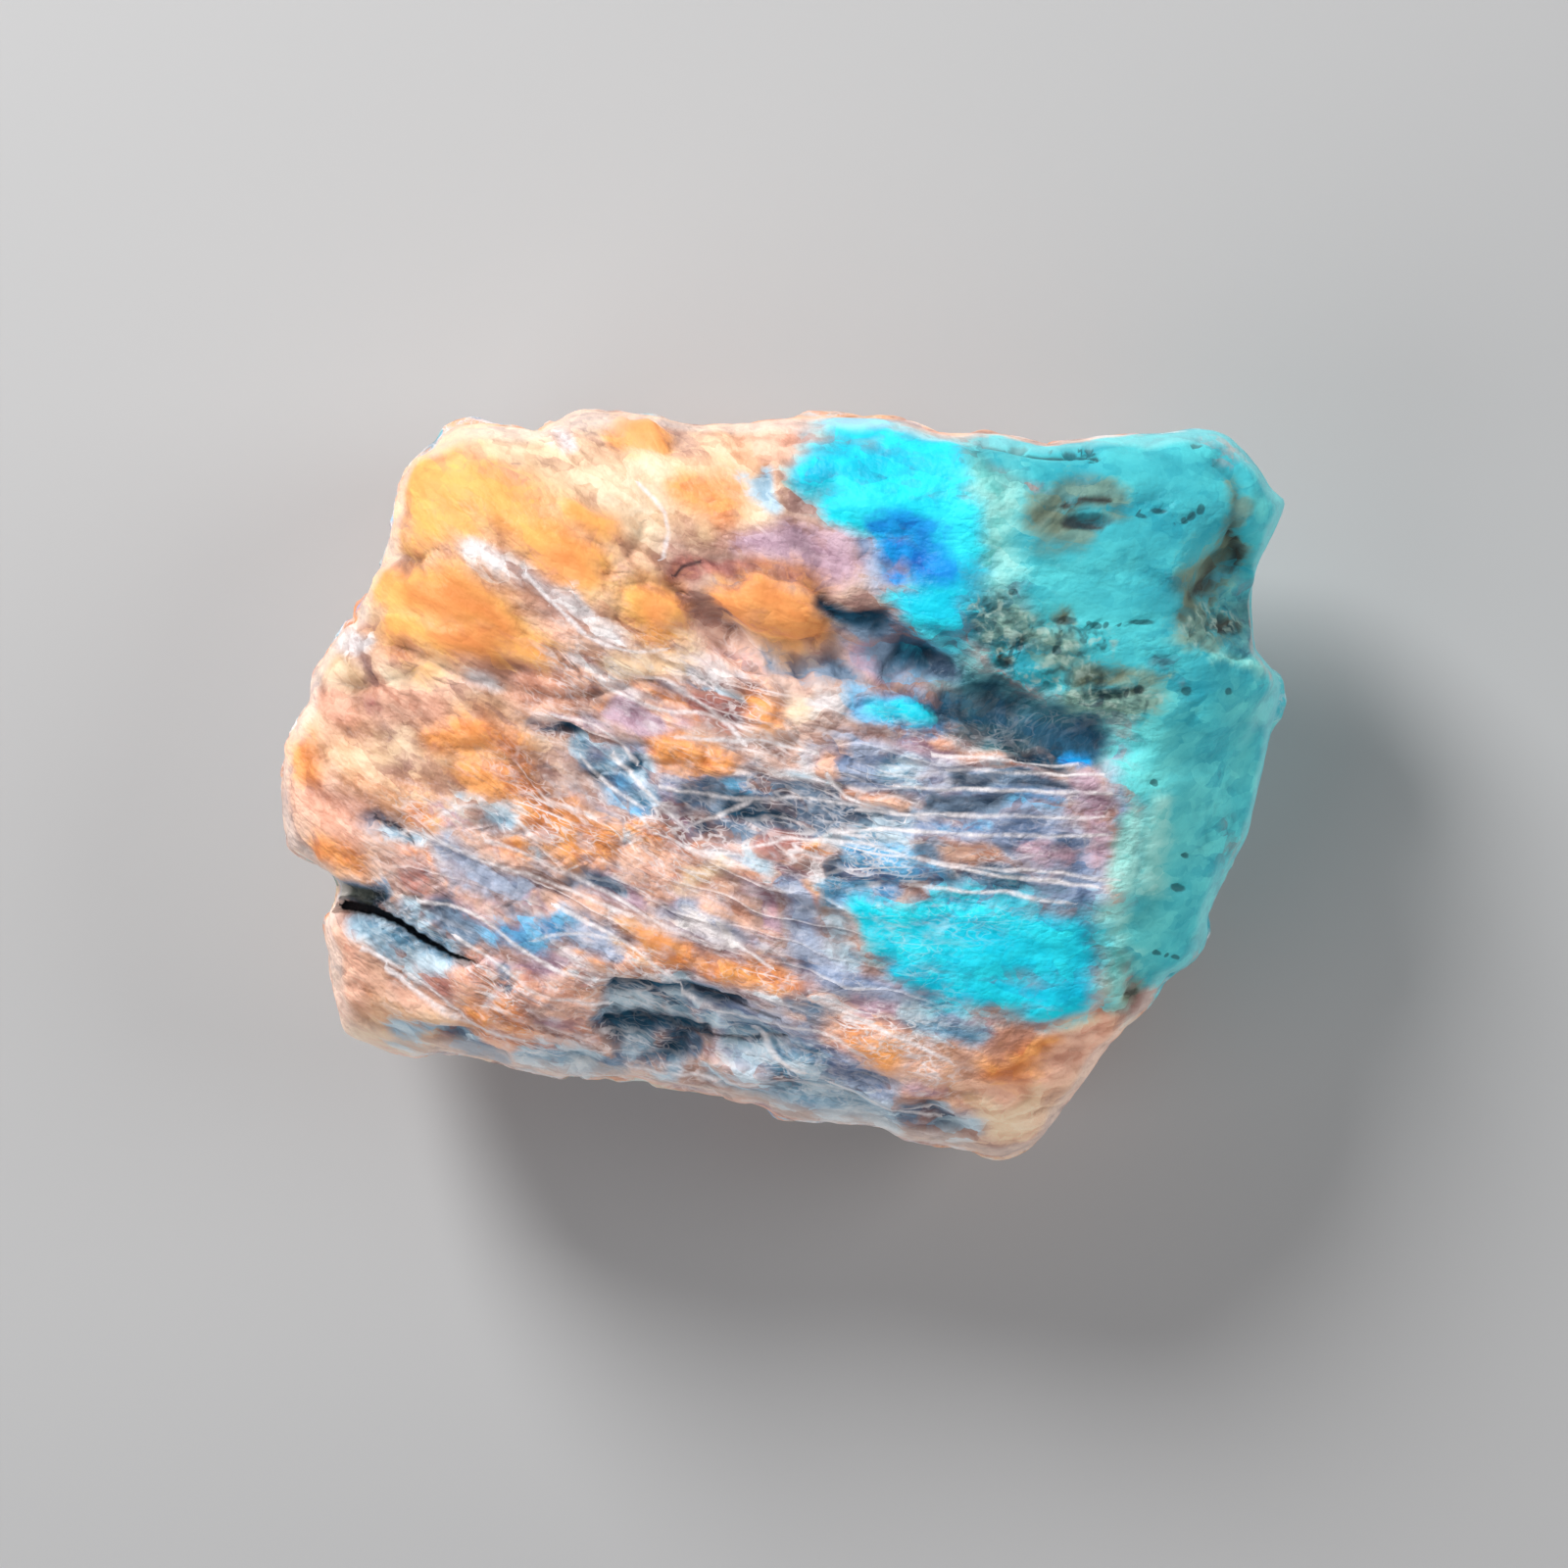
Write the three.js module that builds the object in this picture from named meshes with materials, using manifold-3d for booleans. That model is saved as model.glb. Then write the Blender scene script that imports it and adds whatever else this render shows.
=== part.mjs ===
// A rough specimen of sodalite: one broken piece of stone that lies on its back, its best face up.
// Millimetres, +Z up. The origin is on the surface it lies on, under the middle of its box.
import * as THREE from "three";
import { mergeVertices } from "three/addons/utils/BufferGeometryUtils.js";
import Module from "manifold-3d";

// Driving sizes: the rim is the widest line round the stone
const STONE_WIDTH = 81;
const RIM_HEIGHT = 14;
const FACE_RISE = 14;
const BACK_DEPTH = 15.2;

// The rim isn't level: it climbs and falls twice on its way round
const RIM_WANDER = 2.2;
const RIM_TURN = 0.8;

// The point inside the rim that sees every point of it
const HEART = [0, 0.9];

// How square the stone's section is above and below the rim, and how sharp its facets' edges are.
// The half width only spreads the net's points evenly
const FACE_POWER = 4;
const BACK_POWER = 3;
const HALF_WIDTH = 34;
const EDGE_SHARPNESS = 22;

// How far along the rim its notches are rubbed off, as a share of the whole way round
const SOFTENING = 0.008;

// Facets and relief start at these shares of the height from the rim, so the rim keeps its outline
const FACET_STARTS = 0.35;
const RELIEF_STARTS = 0.7;
const LEAST_RISE = 0.35;

// The net of points: steps from face to back, and the face's share of those
const STEPS_DOWN = 36;
const FACE_SHARE = 0.6;

// The broken outline seen from above, anticlockwise from the right side
const OUTLINE = [
  // Right side, up over the shelf, the recess and the right tip
  [39.4, 3.3], [40.2, 7.6], [39.8, 9.0], [38.0, 10.9], [37.7, 12.8], [37.6, 15.0], [37.8, 17.2],
  [39.1, 19.5], [40.5, 22.6], [39.9, 23.4], [39.1, 24.0], [38.2, 25.4], [36.6, 27.4], [35.5, 28.3],
  // Top edge, to the left over the blue mass, the amber bump and its notch
  [33.8, 28.6], [30.3, 28.2], [27.5, 28.4], [21.9, 27.8], [21.2, 27.1], [20.3, 27.6], [16.3, 28.5],
  [14.6, 28.1], [12.8, 28.2], [10.2, 29.6], [7.5, 30.0], [4.3, 30.1], [-1.7, 29.4], [-7.8, 29.2],
  [-11.9, 30.0], [-14.2, 30.6], [-16.1, 30.6], [-17.4, 30.2], [-18.3, 29.6], [-19.2, 29.2],
  [-19.5, 28.2], [-20.5, 28.6], [-22.4, 29.2], [-25.2, 29.5], [-26.6, 29.3], [-27.6, 28.4],
  // Left side, down the amber block and round the left lobe
  [-28.7, 27.3], [-30.1, 26.4], [-31.0, 25.0], [-31.6, 23.7], [-31.6, 21.6], [-32.0, 19.1],
  [-33.0, 15.8], [-34.0, 14.6], [-34.5, 13.0], [-35.5, 12.8], [-36.7, 11.3], [-38.1, 8.9],
  [-38.4, 6.7], [-39.4, 4.8], [-40.1, 2.8], [-40.4, -0.4], [-40.4, -2.7], [-40.2, -4.7],
  [-39.6, -5.6], [-37.0, -7.0], [-35.8, -7.4], [-35.5, -8.1], [-35.8, -9.5], [-36.6, -10.2],
  [-37.0, -11.4], [-36.6, -13.5], [-36.4, -15.9], [-36.0, -18.7], [-35.4, -20.3],
  // Lower edge, to the right down to the low tip
  [-33.3, -21.2], [-29.8, -22.0], [-27.4, -22.0], [-24.1, -22.9], [-20.1, -23.8], [-18.0, -24.2],
  [-16.1, -23.6], [-11.7, -23.8], [-10.3, -24.5], [-8.1, -25.0], [-4.5, -25.4], [-1.8, -26.1],
  [-0.2, -27.2], [1.9, -27.6], [6.3, -27.8], [8.5, -28.1], [9.9, -29.0], [12.1, -29.5],
  [14.8, -29.9], [16.7, -30.5], [18.3, -30.6], [20.3, -29.9], [21.2, -28.8],
  // The straight break and the right side up to the start
  [24.2, -24.2], [27.8, -19.4], [30.0, -17.8], [31.4, -15.4], [32.7, -15.0], [33.8, -14.1],
  [34.4, -12.7], [34.6, -10.2], [36.6, -6.4], [37.6, -4.2], [38.6, 0.2],
];

// Flat breaks: the way each faces, its distance from the heart, and how it eases off upwards
const FACETS = [
  // The right side slopes away from a ridge, but only below the shelf
  { faces: [0.72, -0.08, 0.69], away: 29.8, easing: { from: 1, to: 11, by: 4 } },
  { faces: [-0.25, -0.8, 0.55], away: 29 },
  { faces: [0.25, -0.5, 0.83], away: 26 },
  // The back is four broken faces round the spot it lies on
  { faces: [-0.36, 0.14, -0.92], away: 19.5 },
  { faces: [0.2, 0.4, -0.9], away: 19.5 },
  { faces: [0.42, -0.2, -0.89], away: 21 },
  { faces: [-0.14, -0.44, -0.89], away: 18.5 },
];

// Broad swells (rise above 0) and hollows (below 0) of the face
const SWELLS = [
  // The smooth amber block and its neighbours along the top
  { at: [-22.5, 19.3], half: [13.6, 9.5], turn: -10, rise: 2 },
  { at: [8, 25], half: [10, 5], turn: 0, rise: 1.2 },
  { at: [25, 20], half: [11, 8], turn: 0, rise: 0.8 },
  // The eye-shaped lens and the blue knob beside it
  { at: [0, 14.1], half: [5, 2.8], turn: -5, rise: 0.8 },
  { at: [12.3, 14.5], half: [3.4, 2.8], turn: 0, rise: 0.6 },
  // The dark recess in the right edge, and hollows lower down
  { at: [35.4, 15.4], half: [3.2, 4.2], turn: 8, rise: -4.5 },
  { at: [-8.9, -20.3], half: [8, 3.6], turn: -8, rise: -1.6 },
  { at: [-3.3, -2.7], half: [6, 3], turn: 8, rise: -0.9 },
  { at: [-15.7, 1.3], half: [4.5, 3], turn: -35, rise: -0.9 },
  { at: [14.3, -13.9], half: [11, 5.5], turn: -3, rise: -0.7 },
];

// The ledge under the upper masses is a soft groove across the face
const LEDGE = [
  [-4.9, 11.7], [1.5, 9.7], [7.9, 10.5], [12.0, 9.0], [16.0, 6.3], [20.7, 4.5], [26.3, 2.9],
];
const LEDGE_HALF = 2;
const LEDGE_DEPTH = 2;

// The open crack at the lower left, from outside the rim to its hairline end
const CRACK = [
  [-38.5, -9.4], [-35.8, -9.6], [-33.7, -9.9], [-32.3, -10.2], [-30.6, -11.0], [-29.0, -12.2],
  [-27.4, -13.0], [-25.7, -13.8], [-24.1, -14.1],
];
const CRACK_WIDTH = 0.9;
const CRACK_FLOOR = RIM_HEIGHT + 2;
const CRACK_TOP = 2 * (RIM_HEIGHT + FACE_RISE);

// Points nearer to each other than this are one point
const SAME_PLACE = 1e-4;

const { smoothstep, degToRad, lerp } = THREE.MathUtils;

// A closed smooth curve through the outline's points, scaled to the stone's width
function rimCurve() {
  const across = OUTLINE.map(([x]) => x);
  const scale = STONE_WIDTH / (Math.max(...across) - Math.min(...across));
  const points = OUTLINE.map(([x, y]) => new THREE.Vector3(x * scale, y * scale, 0));
  return new THREE.CatmullRomCurve3(points, true, "catmullrom", 0.5);
}

// The same line with its notches rubbed off, as the mean of places on either side
function softRimPoint(rim, round) {
  const steps = [-4, -3, -2, -1, 0, 1, 2, 3, 4];
  const sum = new THREE.Vector3();
  steps.forEach((step) => sum.add(rim.getPoint(round + step * SOFTENING)));
  return sum.divideScalar(steps.length);
}

// The stone's section as a superellipse: turn 0 is the middle of the face, PI that of the back
function section(turn) {
  const onFace = Math.cos(turn) > 0;
  const height = onFace ? FACE_RISE : BACK_DEPTH;
  const power = onFace ? FACE_POWER : BACK_POWER;
  const out = Math.abs(Math.sin(turn)) / HALF_WIDTH;
  const up = Math.abs(Math.cos(turn)) / height;
  const reach = (out ** power + up ** power) ** (-1 / power);
  return { out: out * reach, up: (onFace ? 1 : -1) * up * reach * height, level: up * reach };
}

// Draws a point back towards the heart where it stands beyond a facet, with a softened edge
function drawBehind(point, { faces, away, easing }) {
  const normal = new THREE.Vector3(...faces).normalize();
  const eased = easing ? easing.by * smoothstep(point.y + HEART[1], easing.from, easing.to) : 0;
  const beyond = Math.max(normal.dot(point) / (away + eased), 0);
  const drawn = (1 + beyond ** EDGE_SHARPNESS) ** (-1 / EDGE_SHARPNESS);
  const fade = smoothstep(Math.abs(point.z) / FACE_RISE, 0, FACET_STARTS);
  point.multiplyScalar(lerp(1, drawn, fade));
}

// The height of one swell: a flat-topped bell over a turned ellipse
function swellHeight(x, y, { at, half, turn, rise }) {
  const angle = degToRad(turn);
  const dx = x - at[0];
  const dy = y - at[1];
  const along = (dx * Math.cos(angle) + dy * Math.sin(angle)) / half[0];
  const aside = (dy * Math.cos(angle) - dx * Math.sin(angle)) / half[1];
  const far = along * along + aside * aside;
  return rise * Math.exp(-far * far);
}

// The distance from a place on the face to a broken line
function distanceToLine(x, y, line) {
  const place = new THREE.Vector3(x, y, 0);
  const nearest = new THREE.Vector3();
  const distances = line.slice(1).map((end, index) => {
    const start = line[index];
    const stretch = new THREE.Line3(new THREE.Vector3(...start, 0), new THREE.Vector3(...end, 0));
    stretch.closestPointToPoint(place, true, nearest);
    return nearest.distanceTo(place);
  });
  return Math.min(...distances);
}

// How far the face stands above or below its plain dome
function faceRelief(x, y) {
  const swells = SWELLS.reduce((sum, swell) => sum + swellHeight(x, y, swell), 0);
  const ledge = (distanceToLine(x, y, LEDGE) / LEDGE_HALF) ** 2;
  return swells - LEDGE_DEPTH * Math.exp(-ledge);
}

// One point of the stone's skin, from its place round the rim and its place from face to back
function skinPoint(rim, round, down) {
  const onFace = down < FACE_SHARE;
  const share = onFace ? down / FACE_SHARE : 1 + (down - FACE_SHARE) / (1 - FACE_SHARE);
  const { out, up, level } = section((share * Math.PI) / 2);
  const notched = (1 - level * level) ** 2;
  const edge = softRimPoint(rim, round).lerp(rim.getPoint(round), notched);
  const point = new THREE.Vector3((edge.x - HEART[0]) * out, (edge.y - HEART[1]) * out, up);
  FACETS.forEach((facet) => drawBehind(point, facet));
  const x = point.x + HEART[0];
  const y = point.y + HEART[1];
  const fade = smoothstep(point.z / FACE_RISE, 0, RELIEF_STARTS);
  const risen = Math.max(point.z + fade * faceRelief(x, y), LEAST_RISE * point.z);
  const wander = RIM_WANDER * out * out * Math.sin(2 * Math.atan2(edge.y, edge.x) + RIM_TURN);
  return new THREE.Vector3(x, y, Math.max(RIM_HEIGHT + (onFace ? risen : point.z) + wander, 0));
}

// The whole stone before it cracked: a sphere's net with every point moved onto the skin
function wholeStone() {
  const rim = rimCurve();
  const geometry = new THREE.SphereGeometry(1, OUTLINE.length, STEPS_DOWN);
  const { position, uv } = geometry.attributes;
  for (let i = 0; i < position.count; i += 1) {
    const down = 1 - uv.getY(i);
    const isPole = Math.sin(down * Math.PI) < SAME_PLACE;
    const round = isPole ? 0 : uv.getX(i);
    position.setXYZ(i, ...skinPoint(rim, round, down));
  }
  return geometry;
}

// The thin wedge of air in the crack, widest at the rim and closing to its end
function crackAir() {
  const last = CRACK.length - 1;
  const halfGap = (index) => (CRACK_WIDTH / 2) * Math.sqrt(1 - index / last);
  const upper = CRACK.map(([x, y], index) => new THREE.Vector2(x, y + halfGap(index)));
  const lower = CRACK.slice(0, last).map(([x, y], index) => new THREE.Vector2(x, y - halfGap(index)));
  const shape = new THREE.Shape([...upper, ...lower.reverse()]);
  const depth = CRACK_TOP - CRACK_FLOOR;
  const geometry = new THREE.ExtrudeGeometry(shape, { depth, bevelEnabled: false });
  return geometry.translate(0, 0, CRACK_FLOOR);
}

const wasm = await Module();
wasm.setup();

function toSolid(geometry) {
  geometry.deleteAttribute("normal");
  geometry.deleteAttribute("uv");
  const merged = mergeVertices(geometry, SAME_PLACE);
  const vertProperties = new Float32Array(merged.attributes.position.array);
  const triVerts = new Uint32Array(merged.index.array);
  return new wasm.Manifold(new wasm.Mesh({ numProp: 3, vertProperties, triVerts }));
}

function toGeometry(solid) {
  const { vertProperties, triVerts } = solid.getMesh();
  const geometry = new THREE.BufferGeometry();
  geometry.setAttribute("position", new THREE.BufferAttribute(vertProperties, 3));
  geometry.setIndex(new THREE.BufferAttribute(triVerts, 1));
  return geometry;
}

function makeSpecimen() {
  const geometry = toGeometry(toSolid(wholeStone()).subtract(toSolid(crackAir())));
  geometry.computeBoundingBox();
  const middle = geometry.boundingBox.getCenter(new THREE.Vector3());
  geometry.translate(-middle.x, -middle.y, 0);
  geometry.computeVertexNormals();
  const stone = new THREE.MeshStandardMaterial({ color: 0xa3a29a, roughness: 0.55, metalness: 0 });
  const specimen = new THREE.Mesh(geometry, stone);
  specimen.name = "specimen";
  return specimen;
}

const model = new THREE.Group();
model.add(makeSpecimen());
export default model;
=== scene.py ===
# %% [markdown]
# # A rough sodalite specimen
# The object is one broken piece of rock, about 81 mm wide. It lies on its back and shows the face on
# which amber, salmon and blue minerals glow between pale veins. This lesson builds it as one surface:
# first its broken form, then the places where each mineral shows, then a material that draws the fine
# grain, and last the light. All sizes are in millimetres until the mesh is made, because a stone is
# easier to think about that way.

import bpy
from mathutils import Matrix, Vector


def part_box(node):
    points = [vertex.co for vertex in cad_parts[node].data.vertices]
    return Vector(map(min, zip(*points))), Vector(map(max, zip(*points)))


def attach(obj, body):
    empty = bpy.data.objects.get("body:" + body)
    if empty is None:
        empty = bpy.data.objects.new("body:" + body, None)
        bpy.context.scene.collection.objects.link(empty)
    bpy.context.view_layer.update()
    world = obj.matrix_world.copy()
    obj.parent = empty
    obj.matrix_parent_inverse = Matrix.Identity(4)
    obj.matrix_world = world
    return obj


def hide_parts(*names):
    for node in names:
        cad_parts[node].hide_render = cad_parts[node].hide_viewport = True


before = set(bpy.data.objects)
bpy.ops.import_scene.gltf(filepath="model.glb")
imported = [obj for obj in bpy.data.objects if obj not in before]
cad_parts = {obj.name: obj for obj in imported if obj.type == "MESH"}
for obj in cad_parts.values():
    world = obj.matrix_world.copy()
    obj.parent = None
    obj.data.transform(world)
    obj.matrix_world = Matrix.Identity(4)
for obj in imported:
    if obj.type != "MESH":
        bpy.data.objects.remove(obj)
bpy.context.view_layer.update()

# %% Tools and units
import math

import bpy
import numpy as np

MM = 0.001
NODE = "specimen"
BODY = "root"
low, high = (np.array(corner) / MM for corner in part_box(NODE))
print("the stone is", np.round(high - low, 1), "mm")

# %% [markdown]
# ## Where the eye is
# The stone is drawn from straight in front of its face. Here the face is up, so the camera looks
# straight down, with the stone's top edge towards +Y. A long lens keeps the form true. The distance
# follows from how much of the picture's width the stone fills.

# %% Camera
LENS = 100.0
SENSOR = 36.0
STONE_SHARE_OF_WIDTH = 1011 / 1600
RIM_HEIGHT = 14.0

view_width = (high[0] - low[0]) / STONE_SHARE_OF_WIDTH
eye_height = RIM_HEIGHT + view_width * LENS / SENSOR
camera_data = bpy.data.cameras.new("camera")
camera_data.lens = LENS
camera_data.sensor_width = SENSOR
camera_data.clip_start = 0.01
camera = bpy.data.objects.new("camera", camera_data)
camera.location = (0, 0, eye_height * MM)
bpy.context.scene.collection.objects.link(camera)
bpy.context.scene.camera = camera
print("the camera is", round(eye_height), "mm above the floor")

# %% [markdown]
# ## The broken outline
# Seen from the front, the stone's edge is a run of breaks, notches and rounded corners. It is drawn
# as a smooth curve through listed points, the same points as in the imported model. A smooth
# curve is better than straight pieces, because a worn break has no corners at this scale.

# %% Outline, anticlockwise from the right side
OUTLINE = np.array([
    # Right side, up over the shelf, the recess and the right tip
    (39.4, 3.3), (40.2, 7.6), (39.8, 9.0), (38.0, 10.9), (37.7, 12.8), (37.6, 15.0), (37.8, 17.2),
    (39.1, 19.5), (40.5, 22.6), (39.9, 23.4), (39.1, 24.0), (38.2, 25.4), (36.6, 27.4), (35.5, 28.3),
    # Top edge, to the left over the blue mass, the amber bump and its notch
    (33.8, 28.6), (30.3, 28.2), (27.5, 28.4), (21.9, 27.8), (21.2, 27.1), (20.3, 27.6), (16.3, 28.5),
    (14.6, 28.1), (12.8, 28.2), (10.2, 29.6), (7.5, 30.0), (4.3, 30.1), (-1.7, 29.4), (-7.8, 29.2),
    (-11.9, 30.0), (-14.2, 30.6), (-16.1, 30.6), (-17.4, 30.2), (-18.3, 29.6), (-19.2, 29.2),
    (-19.5, 28.2), (-20.5, 28.6), (-22.4, 29.2), (-25.2, 29.5), (-26.6, 29.3), (-27.6, 28.4),
    # Left side, down the amber block and round the left lobe
    (-28.7, 27.3), (-30.1, 26.4), (-31.0, 25.0), (-31.6, 23.7), (-31.6, 21.6), (-32.0, 19.1),
    (-33.0, 15.8), (-34.0, 14.6), (-34.5, 13.0), (-35.5, 12.8), (-36.7, 11.3), (-38.1, 8.9),
    (-38.4, 6.7), (-39.4, 4.8), (-40.1, 2.8), (-40.4, -0.4), (-40.4, -2.7), (-40.2, -4.7),
    (-39.6, -5.6), (-37.0, -7.0), (-35.8, -7.4), (-35.5, -8.1), (-35.8, -9.5), (-36.6, -10.2),
    (-37.0, -11.4), (-36.6, -13.5), (-36.4, -15.9), (-36.0, -18.7), (-35.4, -20.3),
    # Lower edge, to the right down to the low tip
    (-33.3, -21.2), (-29.8, -22.0), (-27.4, -22.0), (-24.1, -22.9), (-20.1, -23.8), (-18.0, -24.2),
    (-16.1, -23.6), (-11.7, -23.8), (-10.3, -24.5), (-8.1, -25.0), (-4.5, -25.4), (-1.8, -26.1),
    (-0.2, -27.2), (1.9, -27.6), (6.3, -27.8), (8.5, -28.1), (9.9, -29.0), (12.1, -29.5),
    (14.8, -29.9), (16.7, -30.5), (18.3, -30.6), (20.3, -29.9), (21.2, -28.8),
    # The straight break and the right side up to the start
    (24.2, -24.2), (27.8, -19.4), (30.0, -17.8), (31.4, -15.4), (32.7, -15.0), (33.8, -14.1),
    (34.4, -12.7), (34.6, -10.2), (36.6, -6.4), (37.6, -4.2), (38.6, 0.2),
])
OUTLINE *= (high[0] - low[0]) / np.ptp(OUTLINE[:, 0])
STEPS_PER_SPAN = 24
SOFTENING = 0.008
COPIES_EACH_WAY = 4


def cubic(before, start, end, after, t):
    """Places from start to end. The slope at each end is half the step between the places round it."""
    ends = (2 * t**3 - 3 * t**2 + 1) * start + (3 * t**2 - 2 * t**3) * end
    slopes = (t**3 - 2 * t**2 + t) * (end - before) / 2 + (t**3 - t**2) * (after - start) / 2
    return ends + slopes


def closed_curve(corners, steps):
    """A closed curve through the corners, a cubic between each two."""
    before, start, end, after = (np.roll(corners, turn, axis=0)[:, None] for turn in (1, 0, -1, -2))
    t = np.linspace(0, 1, steps, endpoint=False)[None, :, None]
    return cubic(before, start, end, after, t).reshape(-1, corners.shape[1])


def rubbed_off(curve):
    """The curve with its notches gone: the mean of nine copies, each shifted a little further along."""
    shift = round(SOFTENING * len(curve))
    copies = [np.roll(curve, step * shift, axis=0) for step in range(-COPIES_EACH_WAY, COPIES_EACH_WAY + 1)]
    return np.mean(copies, axis=0)


rim_curve = closed_curve(OUTLINE, STEPS_PER_SPAN)
soft_curve = rubbed_off(rim_curve)
print("the outline has", len(OUTLINE), "corners and", len(rim_curve), "curve points")

# %% [markdown]
# ## The net of points
# The surface is a function of two numbers: how far round the rim, and how far from the middle of the
# face over the rim to the middle of the back. Points lie closer together on the face, which is seen
# most, and round the open crack, whose walls are steep.

# %% Columns round the rim and rows from face to back
COLUMNS = 720
FACE_ROWS = 92
BACK_ROWS = 45
CRACK_PLACE = (-34.0, -11.0)
CRACK_REACH = 5.0
CRACK_CROWDING = 1.6


def spread_round(curve, others):
    """Even steps along the curve, closer where it passes the crack, as places on it and on others."""
    lengths = np.linalg.norm(np.roll(curve, -1, axis=0) - curve, axis=1)
    away = np.linalg.norm(curve - CRACK_PLACE, axis=1) / CRACK_REACH
    weights = lengths * (1 + CRACK_CROWDING * np.exp(-away**2))
    travelled = np.concatenate([[0], np.cumsum(weights)])
    wanted = np.linspace(0, travelled[-1], COLUMNS, endpoint=False)
    closed = [np.vstack([line, line[:1]]) for line in (curve, *others)]
    return [np.stack([np.interp(wanted, travelled, line[:, i]) for i in (0, 1)], axis=1)
            for line in closed]


rim, soft_rim = spread_round(rim_curve, [soft_curve])
face_turns = np.linspace(0, math.pi / 2, FACE_ROWS, endpoint=False)
back_turns = np.linspace(math.pi / 2, math.pi, BACK_ROWS + 1, endpoint=False)
turns = np.concatenate([face_turns, back_turns])[1:]
print("the net has", len(turns), "rows of", COLUMNS, "points")

# %% [markdown]
# ## The body of the stone
# A cut through the stone is a superellipse, flat in the middle and round at the rim. Flat breaks are
# added by drawing points back towards the heart where they stand beyond a plane, so an edge forms
# where two planes meet. Broad swells and hollows then lift or lower the face. The numbers are those
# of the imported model, so that the visible stone fills the same space.

# %% Section, facets and swells
FACE_RISE = 14.0
BACK_DEPTH = 15.2
FACE_POWER = 4
BACK_POWER = 3
HALF_WIDTH = 34.0
EDGE_SHARPNESS = 22
FACET_STARTS = 0.35
RELIEF_STARTS = 0.7
LEAST_RISE = 0.35
RIM_WANDER = 2.2
RIM_TURN = 0.8
HEART = np.array([0, 0.9])

# Each facet: the way it faces, its distance from the heart, and how it eases off upwards
FACETS = [
    ((0.72, -0.08, 0.69), 29.8, (1, 11, 4)),
    ((-0.25, -0.8, 0.55), 29, None),
    ((0.25, -0.5, 0.83), 26, None),
    ((-0.36, 0.14, -0.92), 19.5, None),
    ((0.2, 0.4, -0.9), 19.5, None),
    ((0.42, -0.2, -0.89), 21, None),
    ((-0.14, -0.44, -0.89), 18.5, None),
]

# Each swell: its place, its half sizes, its turn in degrees and how far it rises
SWELLS = [
    ((-22.5, 19.3), (13.6, 9.5), -10, 2),
    ((8, 25), (10, 5), 0, 1.2),
    ((25, 20), (11, 8), 0, 0.8),
    ((0, 14.1), (5, 2.8), -5, 0.8),
    ((12.3, 14.5), (3.4, 2.8), 0, 0.6),
    ((35.4, 15.4), (3.2, 4.2), 8, -4.5),
    ((-8.9, -20.3), (8, 3.6), -8, -1.6),
    ((-3.3, -2.7), (6, 3), 8, -0.9),
    ((-15.7, 1.3), (4.5, 3), -35, -0.9),
    ((14.3, -13.9), (11, 5.5), -3, -0.7),
]
LEDGE = [(-4.9, 11.7), (1.5, 9.7), (7.9, 10.5), (12.0, 9.0), (16.0, 6.3), (20.7, 4.5), (26.3, 2.9)]
LEDGE_HALF = 2.0
LEDGE_DEPTH = 2.0


def smoothstep(value, start, end):
    """0 before start, 1 after end and 3t^2 - 2t^3 between them."""
    t = np.clip((value - start) / (end - start), 0, 1)
    return t * t * (3 - 2 * t)


def section(turn):
    """How far out, how high and how level the skin is at each turn, from the superellipse
    out^n + height^n = 1 met by a ray that leaves the heart at that turn."""
    on_face = np.cos(turn) > 0
    height = np.where(on_face, FACE_RISE, BACK_DEPTH)
    power = np.where(on_face, FACE_POWER, BACK_POWER)
    out = np.abs(np.sin(turn)) / HALF_WIDTH
    up = np.abs(np.cos(turn)) / height
    reach = (out**power + up**power) ** (-1 / power)
    return out * reach, np.where(on_face, 1, -1) * up * reach * height, up * reach


def draw_behind(points, facet):
    """Draws points back towards the heart where they stand beyond the facet, with a soft edge."""
    faces, away, easing = facet
    normal = np.array(faces) / np.linalg.norm(faces)
    if easing:
        away = away + easing[2] * smoothstep(points[..., 1] + HEART[1], easing[0], easing[1])
    beyond = np.maximum(points @ normal / away, 0)
    drawn = (1 + beyond**EDGE_SHARPNESS) ** (-1 / EDGE_SHARPNESS)
    fade = smoothstep(np.abs(points[..., 2]) / FACE_RISE, 0, FACET_STARTS)
    return points * (1 + (drawn - 1) * fade)[..., None]


def swell_height(x, y, swell):
    """A flat-topped bell over a turned ellipse: rise times exp(-far^2), far being 1 on the ellipse."""
    (at_x, at_y), (half_x, half_y), turn, rise = swell
    angle = math.radians(turn)
    along = ((x - at_x) * math.cos(angle) + (y - at_y) * math.sin(angle)) / half_x
    aside = ((y - at_y) * math.cos(angle) - (x - at_x) * math.sin(angle)) / half_y
    return rise * np.exp(-((along**2 + aside**2) ** 2))


def nearest_on_line(x, y, line):
    """For each place, its distance from a broken line, the side it is on (1 or -1) and how far past
    the line's ends it lies. Each is taken from the nearest stretch."""
    best = np.full(x.shape, np.inf)
    side = np.ones(x.shape)
    past = np.zeros(x.shape)
    for (x0, y0), (x1, y1) in zip(line[:-1], line[1:]):
        dx, dy = x1 - x0, y1 - y0
        length = math.hypot(dx, dy)
        along = ((x - x0) * dx + (y - y0) * dy) / length**2
        inside = np.clip(along, 0, 1)
        distance = np.hypot(x - x0 - inside * dx, y - y0 - inside * dy)
        nearer = distance < best
        best = np.where(nearer, distance, best)
        side = np.where(nearer, np.sign(dx * (y - y0) - dy * (x - x0)), side)
        past = np.where(nearer, np.abs(along - inside) * length, past)
    return best, side, past


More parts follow.
